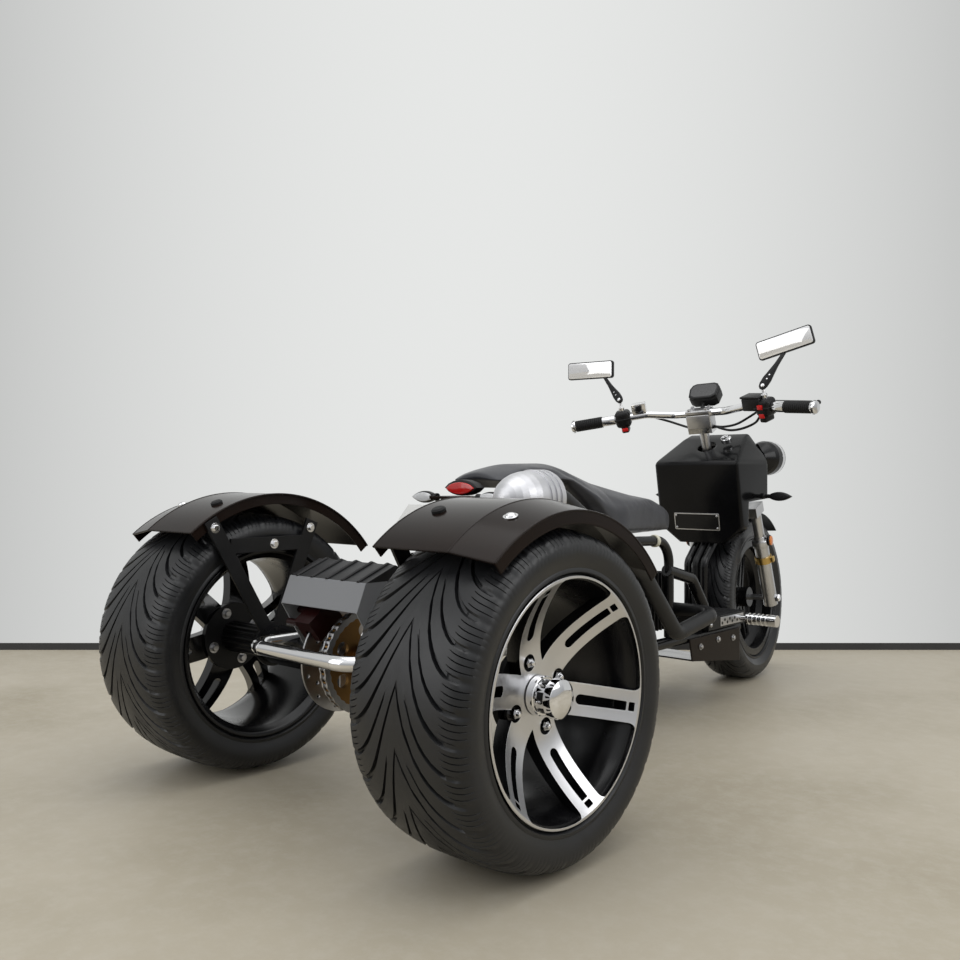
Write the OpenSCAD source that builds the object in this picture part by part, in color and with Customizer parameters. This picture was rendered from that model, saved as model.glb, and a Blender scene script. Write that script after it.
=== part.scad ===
// Motor trike with two wide rear wheels, a live chain-driven axle and a raked front fork.
// Millimetres. The origin is on the ground in the middle of the bounding box,
// the front is at -Y and the rider's left is at +X.

/* [Layout] */
// Distance between the front and the rear axle
wheelbase = 1553; // [1300:1:1800]
// Distance between the middle planes of the rear wheels
track = 790; // [700:1:950]
// Rake of the steering axis from upright, in degrees
rake = 20; // [10:1:35]
// How far the steering is turned to the left at rest, in degrees
steer_turn = 7; // [0:1:20]
// Distance of the front axle ahead of the steering axis
fork_offset = 35; // [0:1:80]

/* [Rear wheels] */
// Outer radius of a rear tyre
rear_tyre_r = 270; // [240:1:330]
// Width of a rear tyre
rear_tyre_w = 246; // [200:1:260]
// Radius of a rear rim's lip
rear_rim_r = 195; // [170:1:215]
// Width of a rear rim from lip to lip
rear_rim_w = 232; // [190:1:246]
// Number of double spokes on a wheel
spoke_count = 5; // [3:1:8]
// Width of a double spoke at the hub
spoke_hub_w = 60; // [54:1:70]
// Width of a double spoke at the rim
spoke_rim_w = 56; // [48:1:70]
// Thickness of the spokes along the axle
spoke_t = 22; // [15:1:30]
// Distance of the spokes' outer face outside the wheel's middle plane
spoke_face = 46; // [30:1:60]
// Radius of the hub pad and of the hub's flange
hub_pad_r = 72; // [60:1:90]
// Radius of the circle on which the wheel bolts sit
lug_pcd_r = 55; // [45:1:58]
// Radius of a hub cap
cap_r = 32; // [25:1:38]
// Length of a hub cap
cap_l = 54; // [20:1:60]

/* [Rear axle] */
// Radius of the live axle
axle_r = 17.5; // [12:0.5:22]
// Radius of a bearing housing
housing_r = 40; // [32:1:50]
// Distance of a housing's inner end from the middle
housing_in = 110; // [100:1:140]
// Distance of a housing's outer end from the middle
housing_out = 259; // [220:1:264]
// Teeth of the rear sprocket: a multiple of twelve, so that each twelfth of a turn meshes again
rear_teeth = 36; // [24:12:48]
// Teeth of the engine's sprocket
engine_teeth = 12; // [11:1:15]
// Pitch of the chain
chain_pitch = 15.875; // [12:0.001:16]
// Distance of the sprockets and the chain to the right of the middle
chain_x = 20; // [15:1:40]
// Radius of the brake disc
disc_r = 102; // [90:1:115]
// Distance of the brake disc to the left of the middle
disc_x = 34; // [30:1:60]

/* [Front wheel] */
// Outer radius of the front tyre
front_tyre_r = 245; // [220:1:280]
// Width of the front tyre
front_tyre_w = 130; // [100:1:136]
// Radius of the front rim's lip
front_rim_r = 176; // [150:1:190]
// Width of the front rim from lip to lip
front_rim_w = 104; // [80:1:110]

/* [Frame] */
// Radius of the frame's tubes
tube_r = 14; // [10:1:18]
// Distance of a floor rail from the middle
rail_x = 120; // [110:1:130]
// Height of the floor rails
rail_z = 196; // [170:1:220]
// How far the floor rails end behind the front axle
rail_back = 253; // [250:1:290]
// Distance of an upright seat tube ahead of the crankcase's rear end
post_in = 325; // [290:1:345]
// Height of the seat rails at the front
seat_rail_z = 455; // [430:1:480]
// Radius of the steering head tube
head_r = 27; // [24:1:32]

/* [Engine] */
// How far the crankcase's rear end is behind the front axle
case_back = 943; // [900:1:960]
// Length of the crankcase
case_l = 250; // [200:1:270]
// Width of the crankcase
case_w = 190; // [150:1:205]
// Height of the crankcase
case_h = 165; // [130:1:190]
// Length of the finned cylinder
barrel_l = 150; // [110:1:170]
// Size of a square cooling fin
fin_w = 150; // [120:1:165]
// Number of cooling fins
fin_count = 9; // [5:1:12]

/* [Fenders] */
// Radius of a fender's outer fold
fender_r = 300; // [294:1:330]
// Thickness of a fender
fender_t = 3; // [2:0.5:5]
// Distance of a fender's inner edge from the middle
fender_in = 265; // [255:1:266]
// Distance of a fender's outer edge from the middle
fender_out = 509; // [480:1:530]
// Depth of a fender's side lips
fender_lip = 22; // [10:1:24]

/* [Seat] */
// How far the seat's nose is behind the front axle
seat_back = 491; // [478:1:530]
// How far the seat's tail is ahead of the rear axle
seat_tail = 326; // [300:1:350]
// Width of the seat
seat_w = 244; // [200:1:270]
// Height of the seat's hump
seat_top = 640; // [620:1:660]

/* [Front cover] */
// Width of the front cover
cover_w = 268; // [264:1:290]
// Wall of the front cover
cover_wall = 4; // [3:0.5:6]
// How far the cover's rear edge is behind the front axle
cover_back = 278; // [268:1:288]
// Depth of the cover from its rear edge to its open front
cover_l = 190; // [170:1:200]
// Height of the cover's bottom
cover_bottom = 424; // [418:1:430]
// Height of the cover's top
cover_top = 745; // [735:1:760]

/* [Steering] */
// Distance of a fork leg from the middle
leg_x = 100; // [94:1:106]
// Radius of a fork slider
slider_r = 21; // [18:1:23]
// Radius of a fork tube
stanchion_r = 15; // [12:1:17]
// Height of the fork crown above the front axle, along the steering axis
crown_up = 278; // [270:1:290]
// Height of the handlebar above the front axle, along the steering axis
bar_up = 608; // [590:1:640]
// Width of the handlebar
bar_w = 706; // [600:1:760]
// Pull-back of the handlebar
bar_back = 104; // [40:1:130]
// Radius of the handlebar
bar_r = 11; // [9:0.5:13]
// Radius of a grip
grip_r = 17; // [15:0.5:20]
// Length of a grip
grip_l = 122; // [100:1:130]
// Width of a mirror
mirror_w = 156; // [120:1:170]
// Height of a mirror
mirror_h = 54; // [40:1:70]

/* [Lamps] */
// Radius of a headlight
headlight_r = 52; // [40:1:60]
// Distance of a headlight from the middle
headlight_x = 78; // [70:1:95]

/* [Hidden] */
$fn = 64;
// Frame of the whole part
rear_y = (wheelbase + front_tyre_r - rear_tyre_r) / 2;
axle_z = rear_tyre_r;
// Places ahead of the rear axle that follow the front axle
rail_front = wheelbase - rail_back;
case_at = wheelbase - case_back;
post_at = case_at + post_in;
seat_nose = wheelbase - seat_back;
cover_at = wheelbase - cover_back;
// Clearances and the overrun of all cuts
fit = 0.05;
seat_gap = 0.3;
run_gap = 5;
over = 1;
// A bend is this much thicker than the straight runs that end in it
bend_swell = 0.2;
// A point ahead of the rear axle, at a height above the ground
function at(x, ahead, z) = [x, rear_y - ahead, z];
// A point of a side outline, ahead of the rear axle
function side_point(ahead, z) = [rear_y - ahead, z];

// Rear wheels
rim_wall = 6;
rim_lip_h = 14;
rim_seat_w = 24;
rim_drop_h = 20;
rim_slope = 12;
slot_bar = 19;
lug_r = 12.5;
lug_count = 4;
lug_turn = 20;
lug_depth = 8;
pad_proud = 1.5;
// How sharply a spoke rises to the lip: the power of its dished curve
dish_share = 2.4;
dish_steps = 6;
wheel_x = track / 2;
pad_in = wheel_x + spoke_face - spoke_t - pad_proud;
hub_flange_t = 12;
collar_r = 33;
collar_groove = 4;
collar_splines = 18;
collar_in = housing_out + 30;
shaft_end = wheel_x + spoke_face;
// Radial and axial shares of a tyre's section above the rim's lip
tyre_widest_share = 0.42;
tyre_square_share = 0.62;
tyre_steps = 8;

// Chain and sprockets
chain_step = 360 / rear_teeth;
rear_pitch_r = chain_pitch / (2 * sin(chain_step / 2));
engine_pitch_r = chain_pitch / (2 * sin(180 / engine_teeth));
link_arc = rear_pitch_r * chain_step * PI / 180;
// The chain has the even number of links that sets the engine's sprocket nearest to its place
shaft_back = 41;
chain_want = 2 * (case_at - shaft_back) + PI * (rear_pitch_r + engine_pitch_r);
chain_links = 2 * round(chain_want / (2 * link_arc));
chain_length = chain_links * link_arc;
roller_r = 4.5;
tooth_h = 4.5;
tooth_root = 0.9;
tooth_root_w = 7.2;
tooth_tip_w = 3;
sprocket_t = 7;
sprocket_hole_r = 13;
sprocket_holes = 6;
plate_in = 4.6;
plate_t = 3.6;
plate_h = 7;
plate_waist = 5;
boss_r = 32;
boss_l = 34;
chain_drop_z = 15;
// The sprockets' distance that a closed chain of whole links needs, by repeated substitution
function wrap(c) = acos((rear_pitch_r - engine_pitch_r) / c);
function arcs(t) = (rear_pitch_r * (360 - 2 * t) + engine_pitch_r * 2 * t) * PI / 180;
function centre_distance(c, left) =
    left == 0 ? c : centre_distance((chain_length - arcs(wrap(c))) / (2 * sin(wrap(c))), left - 1);
sprocket_gap = centre_distance(chain_length / 3, 12);
chain_slope = asin(chain_drop_z / sprocket_gap);
engine_shaft = sprocket_gap * cos(chain_slope);
chain_wrap = wrap(sprocket_gap);

// Brake
disc_t = 4;
disc_in_r = 66;
disc_hole_r = 4;
disc_holes = 24;
// Radial places of the disc's two rows of holes, as shares of its band
disc_hole_shares = [0.3, 0.7];
disc_arm_w = 22;
disc_arms = 5;
caliper_w = 46;
caliper_l = 66;
caliper_h = 46;
caliper_turn = 52;
caliper_pin_r = 7;

// Front wheel
front_axle_r = 9;
front_hub_r = 30;
front_hub_w = 74;
front_spoke_w = 34;
front_spoke_t = 17;
front_bar = 11;
front_disc_r = 85;
front_disc_x = 56;

// Frame
tube_bend = 60;
cross_tube_r = 13.5;
cross_tube_back = 138;
cross_tube_up = 27;
cross_tube_bend = 45;
arm_x = 150;
arm_gap = 50;
arm_rise_at = case_at - arm_gap;
member_in = 30;
member_gap = 195;
member_ats = [case_at + member_in, case_at + member_in + member_gap, rail_front - tube_r];
neck_x = 26;
neck_r = 11;
neck_at = rail_front;
neck_knee_z = 370;
neck_bend_back = 206;
neck_bend_at = wheelbase - neck_bend_back;
neck_bend_z = 428;
neck_join = 60;
// Height of the bracket that carries the front cover
bracket_z = 620;
seat_rail_in = 62;
seat_rail_end = 300;
seat_rail_r = 12;
seat_rail_tail_z = 558;
// Where the seat rails rise behind the rider, as shares of the seat's length from its tail
rail_rise_share = 0.508;
rail_tail_share = 0.304;
seat_rail_rise_at = seat_tail + (seat_nose - seat_tail) * rail_rise_share;
seat_rail_tail_at = seat_tail + (seat_nose - seat_tail) * rail_tail_share;
// The guard arch from a seat tube to the footboard
arch_r = 15;
arch_back = 10;
arch_z = 380;
arch_top_back = 505;
arch_top_z = 350;
arch_end_back = 441;
arch_end_z = 272;

// Engine
engine_floor = rail_z + tube_r;
barrel_r = 52;
fin_t = 4;
head_l = 60;
head_w = 110;
gear_x = 8;
gear_w = 78;
gear_r = 62;
fan_r = 78;
fan_t = 26;
output_r = 12;

// Fenders
fender_ahead = 12;
fender_drop = 4;
fender_rear_angle = 50;
fender_front_angle = 38;
fender_crown = 16;
stay_t = 6;
stay_w = 30;
// Upper ends of a stay's legs as [ahead of the axle, height]
stay_rear_at = 150;
stay_rear_z = 532;
stay_front_at = 100;
stay_front_z = 523;
stay_legs = [[-stay_rear_at, stay_rear_z], [stay_front_at, stay_front_z]];
stay_bar_z = 478;
stay_bar_rear = 104;
stay_bar_front = 78;

// Rear cover
shield_w = 2 * (housing_in - seat_gap);
shield_t = 3;
shield_rear = 92;
shield_low = 377;
shield_fold = 428;
shield_knee = 71;
shield_top = 456;
shield_front = 70;

// Seat and tail
seat_rail_rise = 8;
// Seat's side outline as shares of its length from the tail and of its height over the rails
seat_side_shares = [
    [0, 0.87], [0.13, 0.98], [0.32, 1], [0.43, 0.88], [0.54, 0.74], [0.77, 0.54], [0.93, 0.44],
    [0.98, 0.36], [1, 0.2], [0.985, 0.04], [0.95, 0], [0.53, 0], [0.43, 0.45], [0.33, 0.82], [0, 0.76]
];
// Seat's half outline in plan as shares of its length from the tail and of its half width
seat_plan_shares = [
    [0, 0.56], [0.05, 0.7], [0.27, 0.74], [0.42, 1], [0.58, 1], [0.75, 0.82], [0.93, 0.62],
    [0.98, 0.5], [1, 0.3]
];
tray_w = 116;
tray_l = 90;
tray_t = 6;
tray_z = seat_rail_tail_z + seat_rail_r + seat_gap;
lamp_w = 82;
lamp_h = 32;
lamp_l = 34;
turn_stem_r = 6;
turn_l = 64;
turn_h = 26;
turn_t = 20;
sign_w = 180;
sign_h = 88;
sign_t = 3;
sign_lean = 43;
sign_top_at = 226;
sign_top_z = 556;

// Muffler
muffler_x = 192;
muffler_z = 574;
muffler_r = 55;
muffler_rear = 196;
muffler_pipe_r = 19;
muffler_dome = 84;
muffler_steps = 8;
muffler_ribs = 3;
muffler_rib_w = 8;
muffler_taper = 16;
// Knees of the exhaust pipe behind the front axle, and their heights
pipe_knee_back = 853;
pipe_knee_z = 395;
pipe_low_back = 703;
pipe_low_z = 236;

// Front cover
cover_low_w = 146;
cover_high_w = 190;
cover_waist_z = 471;
cover_shoulder_z = 658;
cover_lip_z = 545;
// The cover's side outline, as distances ahead of its rear edge and below its top
cover_waist_in = 35;
cover_toe_in = 40;
cover_toe_out = 68;
cover_lip_in = 72;
cover_lip_rise = 8;
cover_nose_drop = 60;
cover_peak_in = 150;
cover_brow_in = 113;
cover_brow_drop = 16;

// Floor
board_in = 60;
board_out = 150;
board_back = 263;
board_l = 203;
board_front = wheelbase - board_back;
board_rear = board_front - board_l;
board_h = 34;
board_wall = 4;
board_ribs = 5;
board_rib_h = 2;
peg_r = 16;
peg_l = 86;
peg_gap = 25;
peg_rod_r = 8;
peg_ribs = 5;
peg_band = 22;
belly_t = 4;
belly_back = 269;
belly_l = 274;
belly_front = wheelbase - belly_back;
belly_rear = belly_front - belly_l;
belly_rear_z = 137;
belly_front_z = 104;
belly_slant = 14;

// Lamps at the front
headlight_ahead = 2;
headlight_at = wheelbase + headlight_ahead;
headlight_z = 673;
headlight_l = 84;
// A headlight's section as shares of its radius and its length
headlight_shares = [
    [0, -1 / 2], [1 / 2, -1 / 2], [0.9, -1 / 6], [1, 0], [1, 1 / 2], [0.9, 1 / 2], [0.6, 1 / 3], [0, 1 / 4]
];
lamp_bar_r = 9;
front_turn_in = 160;
front_turn_at = cover_at + front_turn_in;
front_turn_z = 560;

// Steering, in the frame of the steering axis
head_high = 488;
stem_r = 14;
crown_t = 30;
head_low = crown_up + crown_t + run_gap;
crown_l = 64;
slider_top = 170;
boot_r = 24;
boot_h = 22;
riser_w = 72;
riser_h = 46;
riser_t = 40;
bar_rise = 18;
bar_straight = 78;
bar_knee = 150;
bar_bend = 45;
bar_end_r = 18;
bar_end_l = 14;
bar_y = 8;
control_w = 46;
control_r = 24;
lever_l = 150;
lever_w = 14;
gauge_w = 92;
gauge_l = 62;
// The gauge pod's outline as shares of half its width and half its length, rider's side first
gauge_outline_shares = [
    [-0.62, 1], [0.62, 1], [0.92, 0.72], [1, -0.3], [0.86, -0.82], [0.6, -1], [-0.6, -1], [-0.86, -0.82],
    [-1, -0.3], [-0.92, 0.72]
];
gauge_h = 40;
gauge_y = -58;
gauge_up = 644;
gauge_lean = 50;
mirror_t = 14;
mirror_x = 330;
mirror_up = 768;
mirror_y = -6;
mirror_stem_r = 6;
// How the rider has set the right mirror: moved in, up and rolled
mirror_right_in = 60;
mirror_right_up = 12;
mirror_right_roll = 12.5;
mirror_left_roll = -2.5;
guard_r = front_tyre_r + 11;
guard_w = 144;
guard_from = 168;
guard_to = 240;
guard_t = 3;
guard_stay_r = 5;

// Helpers
function unit(v) = v / norm(v);
function bend_angle(a, b, c) = acos(unit(b - a) * unit(c - b));
function bend_cut(path, i, bend) =
    i == 0 || i == len(path) - 1 ? 0 : bend * tan(bend_angle(path[i - 1], path[i], path[i + 1]) / 2);

// Sets its children's Z axis on the line from one point to another
module along(p, q) {
    v = q - p;
    translate(p) rotate([0, acos(v.z / norm(v)), atan2(v.y, v.x)]) children();
}

module rod(p, q, r) along(p, q) cylinder(r = r, h = norm(q - p));

// A torus elbow between two straight runs of a tube
module elbow(a, b, c, r, bend) {
    d = unit(b - a);
    e = unit(unit(c - b) - (unit(c - b) * d) * d);
    n = cross(d, e);
    start = b - d * bend * tan(bend_angle(a, b, c) / 2);
    o = start + e * bend;
    multmatrix([[-e.x, d.x, n.x, o.x], [-e.y, d.y, n.y, o.y], [-e.z, d.z, n.z, o.z], [0, 0, 0, 1]])
        rotate_extrude(angle = bend_angle(a, b, c)) translate([bend, 0]) circle(r);
}

// A round tube along a path, with round bends
module tube(path, r, bend) {
    last = len(path) - 1;
    for (i = [0:last - 1]) {
        d = unit(path[i + 1] - path[i]);
        start = i == 0 ? 0 : bend_cut(path, i, bend) - over;
        stop = i == last - 1 ? 0 : bend_cut(path, i + 1, bend) - over;
        rod(path[i] + d * start, path[i + 1] - d * stop, r);
    }
    if (last > 1) for (i = [1:last - 1]) elbow(path[i - 1], path[i], path[i + 1], r + bend_swell, bend);
}

// Makes a left-hand piece, or its mirror image on the right
module on_side(side) if (side > 0) children(); else mirror([1, 0, 0]) children();

// Turns a side outline, with Y and Z as its axes, into a plate that starts at a given X
module side_plate(x, t) translate([x, 0, 0]) rotate([90, 0, 90]) linear_extrude(t) children();

// Sets its children's Z axis on the rear axle, pointing left
module on_rear_axle(x = 0) translate([x, rear_y, axle_z]) rotate([0, 90, 0]) children();

// Sets its children in the frame of the steering axis, turned as it rests
module on_steering()
    translate([0, rear_y - wheelbase + fork_offset * cos(rake), front_tyre_r - fork_offset * sin(rake)])
        rotate([-rake, 0, 0]) rotate([0, 0, steer_turn]) children();

// Sets its children's Z axis on the front axle, pointing left
module on_front_axle(x = 0) on_steering() translate([x, -fork_offset, 0]) rotate([0, 90, 0]) children();

// Half of a tyre's section from the bead to the crown, as [radius, half width]
function tyre_half(r, w, rim_r, bead_w) = concat(
    [[rim_r - rim_lip_h + seat_gap, bead_w], [rim_r + seat_gap, bead_w]],
    [for (i = [0:tyre_steps]) let (a = 90 * i / tyre_steps, mid = rim_r + (r - rim_r) * tyre_widest_share)
        [mid + (r - mid) * pow(sin(a), tyre_square_share), w / 2 * pow(cos(a), tyre_square_share)]]
);

module tyre(r, w, rim_r, bead_w) {
    half = tyre_half(r, w, rim_r, bead_w);
    last = len(half) - 1;
    rotate_extrude() polygon(concat(half, [for (i = [last - 1:-1:0]) [half[i].x, -half[i].y]]));
}

// The barrel of a rim, from its outer lip to its inner lip and back along its inside
module rim_barrel(r, w) {
    seat_r = r - rim_lip_h;
    drop_r = seat_r - rim_drop_h;
    lip = w / 2 - rim_wall;
    seat_end = lip - rim_seat_w;
    drop_end = seat_end - rim_slope;
    outer = [[r, w / 2], [r, lip], [seat_r, lip], [seat_r, seat_end], [drop_r, drop_end]];
    inner = [[drop_r - rim_wall, drop_end], [seat_r - rim_wall, seat_end], [seat_r - rim_wall, w / 2]];
    rotate_extrude() polygon(concat(
        outer, [for (i = [len(outer) - 1:-1:0]) [outer[i].x, -outer[i].y]],
        [for (i = [len(inner) - 1:-1:0]) [inner[i].x, -inner[i].y]], inner
    ));
}

function drop_inner_r(r) = r - rim_lip_h - rim_drop_h - rim_wall;

// An outline of alternating tops and roots, such as splines
function cog(count, r_top, r_root) = [for (i = [0:count - 1], k = [0:3])
    let (r = k < 2 ? r_top : r_root, a = 360 * (i + k / 4) / count) [r * cos(a), r * sin(a)]];

// Rear axle
module axle_shaft() color("dimgray") on_rear_axle() cylinder(r = axle_r, h = 2 * shaft_end, center = true);

// A sprocket's outline in the chain's frame, with a tooth half a step from each roller
function sprocket_outline(teeth, pitch_r) = [for (i = [0:teeth - 1], k = [-2, -1, 1, 2])
    let (
        tip = abs(k) == 1,
        r = tip ? pitch_r + tooth_h : pitch_r - roller_r - tooth_root,
        half = (tip ? tooth_tip_w : tooth_root_w) / 2,
        a = (i + 1 / 2) * 360 / teeth + sign(k) * asin(half / r)
    ) [r * cos(a), r * sin(a)]];

// The chain's plane: X along the line of the sprockets toward the engine, Y up
module in_chain_plane(t)
    translate([-chain_x, rear_y, axle_z]) rotate([-chain_slope, 0, 0]) rotate([0, 0, -90])
        rotate([90, 0, 0]) translate([0, 0, -t / 2]) linear_extrude(t) children();

module sprocket() color("darkgoldenrod") difference() {
    union() {
        in_chain_plane(sprocket_t) polygon(sprocket_outline(rear_teeth, rear_pitch_r));
        on_rear_axle(-chain_x) cylinder(r = boss_r, h = boss_l, center = true);
    }
    on_rear_axle() cylinder(r = axle_r + fit, h = 2 * shaft_end, center = true);
    for (i = [0:sprocket_holes - 1])
        on_rear_axle(-chain_x) rotate([0, 0, 360 * i / sprocket_holes])
            translate([(boss_r + rear_pitch_r - roller_r) / 2, 0, 0])
                cylinder(r = sprocket_hole_r, h = boss_l + over, center = true);
}

// A point of the chain at a length along it, from the rear of the big sprocket over the top
function on_arc(c, r, a) = [c + r * cos(a), r * sin(a)];
function chain_at(s) =
    let (
        turn = 180 / PI,
        big = rear_pitch_r * (180 - chain_wrap) / turn,
        run = sprocket_gap * sin(chain_wrap),
        small = engine_pitch_r * 2 * chain_wrap / turn,
        top = on_arc(0, rear_pitch_r, chain_wrap),
        top_end = on_arc(sprocket_gap, engine_pitch_r, chain_wrap),
        low = [top.x, -top.y],
        low_end = [top_end.x, -top_end.y]
    )
    s <= big ? on_arc(0, rear_pitch_r, 180 - s / rear_pitch_r * turn)
    : s <= big + run ? top + (top_end - top) * (s - big) / run
    : s <= big + run + small
        ? on_arc(sprocket_gap, engine_pitch_r, chain_wrap - (s - big - run) / engine_pitch_r * turn)
    : s <= big + 2 * run + small
        ? low_end + (low - low_end) * (s - big - run - small) / run
    : on_arc(0, rear_pitch_r, -chain_wrap - (s - big - 2 * run - small) / rear_pitch_r * turn);

// A point beside the chain's line, on its outer or inner side
function beside(s, off) =
    let (a = chain_at(s), d = unit(chain_at((s + over) % chain_length) - a)) a + off * [-d.y, d.x];
function plate_edge(side) = [for (i = [0:chain_links - 1], k = [0, 1 / 2])
    beside((i + k) * link_arc, side * (k == 0 ? plate_h : plate_waist))];

module chain() color("silver") {
    outer = plate_edge(1);
    inner = plate_edge(-1);
    count = len(outer);
    for (side = [-1, 1]) translate([side * (plate_in + plate_t / 2), 0, 0]) in_chain_plane(plate_t)
        polygon(concat(outer, inner), [[for (i = [0:count - 1]) i], [for (i = [0:count - 1]) count + i]]);
    for (i = [0:chain_links - 1]) in_chain_plane(2 * plate_in + plate_t)
        translate(chain_at(i * link_arc)) circle(r = roller_r, $fn = 6);
}

module brake_disc() color("silver") difference() {
    union() {
        on_rear_axle(disc_x) {
            difference() {
                cylinder(r = disc_r, h = disc_t, center = true);
                cylinder(r = disc_in_r, h = disc_t + over, center = true);
                for (i = [0:disc_holes - 1]) rotate([0, 0, 360 * i / disc_holes])
                    translate([disc_in_r + (disc_r - disc_in_r) * disc_hole_shares[i % 2], 0, 0])
                        cylinder(r = disc_hole_r, h = disc_t + over, center = true);
            }
            for (i = [0:disc_arms - 1]) rotate([0, 0, 360 * i / disc_arms])
                translate([(boss_r + disc_in_r) / 2, 0, 0])
                    cube([disc_in_r - boss_r + disc_arm_w / 2, disc_arm_w, disc_t], center = true);
            cylinder(r = boss_r, h = boss_l, center = true);
        }
    }
    on_rear_axle() cylinder(r = axle_r + fit, h = 2 * shaft_end, center = true);
}

module hub(side) color("black") on_side(side) difference() {
    on_rear_axle() {
        translate([0, 0, collar_in]) linear_extrude(pad_in - hub_flange_t - collar_in)
            polygon(cog(collar_splines, collar_r, collar_r - collar_groove));
        translate([0, 0, pad_in - hub_flange_t]) cylinder(r = hub_pad_r, h = hub_flange_t);
    }
    on_rear_axle() cylinder(r = axle_r + fit, h = 2 * shaft_end, center = true);
}
module hub_left() hub(1);
module hub_right() hub(-1);

// The outline of a double spoke: a tapered bar along X with a round-ended slot down its middle
module double_spoke(inner_r, outer_r, hub_w, rim_w, bar) {
    slot_w = rim_w - 2 * bar;
    slot_end = outer_r - rim_wall - bar / 2;
    slot_start = inner_r + bar / 2;
    difference() {
        polygon([[0, -hub_w / 2], [outer_r, -rim_w / 2], [outer_r, rim_w / 2], [0, hub_w / 2]]);
        translate([slot_start, -slot_w / 2]) square([slot_end - slot_start, slot_w]);
        translate([slot_start, 0]) circle(slot_w / 2);
    }
}

// A double spoke whose face rises from the hub to the rim's lip on a dished curve
module dished_spoke(hub_face, rim_face, t, inner_r, outer_r, hub_w, rim_w, bar) {
    face = [for (i = [0:dish_steps]) let (k = i / dish_steps)
        [inner_r + (outer_r - inner_r) * k, hub_face + (rim_face - hub_face) * pow(k, dish_share)]];
    back = [for (i = [dish_steps:-1:0]) [face[i].x, face[i].y - t]];
    intersection() {
        translate([0, 0, hub_face - 2 * t]) linear_extrude(rim_face - hub_face + 3 * t)
            double_spoke(inner_r, outer_r, hub_w, rim_w, bar);
        rotate([90, 0, 0]) linear_extrude(2 * hub_w, center = true)
            polygon(concat([[0, hub_face]], face, back, [[0, hub_face - t]]));
    }
}

module rear_rim(side) color("silver") on_side(side) difference() {
    on_rear_axle(wheel_x) {
        rim_barrel(rear_rim_r, rear_rim_w);
        translate([0, 0, spoke_face - spoke_t - pad_proud])
            cylinder(r = hub_pad_r, h = spoke_t + 2 * pad_proud);
        for (i = [0:spoke_count - 1]) rotate([0, 0, 360 * i / spoke_count - 90])
            dished_spoke(spoke_face, rear_rim_w / 2 - rim_wall / 2, spoke_t, hub_pad_r,
                rear_rim_r - rim_lip_h - rim_wall / 2, spoke_hub_w, spoke_rim_w, slot_bar);
    }
    on_rear_axle() cylinder(r = axle_r + fit, h = 2 * shaft_end + cap_l, center = true);
    for (i = [0:lug_count - 1])
        on_rear_axle(wheel_x + spoke_face - lug_depth) rotate([0, 0, lug_turn + 360 * i / lug_count])
            translate([lug_pcd_r, 0, 0]) cylinder(r = lug_r, h = lug_depth + 2 * pad_proud);
}
module rear_rim_left() rear_rim(1);
module rear_rim_right() rear_rim(-1);

module rear_tyre(side) color("black") on_side(side) on_rear_axle(wheel_x)
    tyre(rear_tyre_r, rear_tyre_w, rear_rim_r, rear_rim_w / 2 - rim_wall - seat_gap);
module rear_tyre_left() rear_tyre(1);
module rear_tyre_right() rear_tyre(-1);

module hub_cap(side) color("silver") on_side(side) on_rear_axle(wheel_x + spoke_face + pad_proud)
    rotate_extrude() polygon([[0, 0], [cap_r, 0], [cap_r, cap_l / 3], [cap_r - rim_wall / 2, cap_l / 3],
        [cap_r - rim_wall / 2, cap_l - rim_wall], [cap_r - rim_wall, cap_l], [0, cap_l]]);
module hub_cap_left() hub_cap(1);
module hub_cap_right() hub_cap(-1);

// Chassis
module frame() color("black") {
    for (side = [-1, 1]) on_side(side) {
        tube([at(rail_x, rail_front, rail_z), at(rail_x, arm_rise_at, rail_z)], tube_r, tube_bend);
    }
    for (ahead = member_ats) rod(at(-rail_x, ahead, rail_z), at(rail_x, ahead, rail_z), tube_r);
    difference() {
        union() {
            on_head() translate([0, 0, head_low]) cylinder(r = head_r, h = head_high - head_low);
            rod(head_at_height(bracket_z),
                at(0, cover_inside(bracket_z - neck_r) + seat_gap, bracket_z), neck_r);
            for (side = [-1, 1])
                tube([at(side * neck_x, neck_at - tube_r, rail_z),
                    at(side * neck_x, neck_at - tube_r, neck_knee_z),
                    at(side * neck_x, neck_bend_at, neck_bend_z),
                    head_point(side * neck_x / 2, head_low + neck_join)], neck_r, tube_bend / 2);
        }
        on_head() translate([0, 0, head_low - over]) cylinder(r = stem_r + fit, h = head_high);
    }
}

// The steering head's frame, without the turn
module on_head()
    translate([0, rear_y - wheelbase + fork_offset * cos(rake), front_tyre_r - fork_offset * sin(rake)])
        rotate([-rake, 0, 0]) children();
function head_at_height(z) = head_point(0, (z - front_tyre_r + fork_offset * sin(rake)) / cos(rake));
function head_point(x, up) = [x, rear_y - wheelbase + fork_offset * cos(rake) + up * sin(rake),
    front_tyre_r - fork_offset * sin(rake) + up * cos(rake)];

module rear_arms() color("black") difference() {
    for (side = [-1, 1]) on_side(side) {
        on_rear_axle(housing_in) cylinder(r = housing_r, h = housing_out - housing_in);
        tube([at(rail_x, arm_rise_at, rail_z), at(rail_x, arm_rise_at - 2 * tube_bend, rail_z),
            at(arm_x, housing_r - tube_r, axle_z)], tube_r, tube_bend);
    }
    on_rear_axle() cylinder(r = axle_r + fit, h = 2 * shaft_end, center = true);
}

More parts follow.
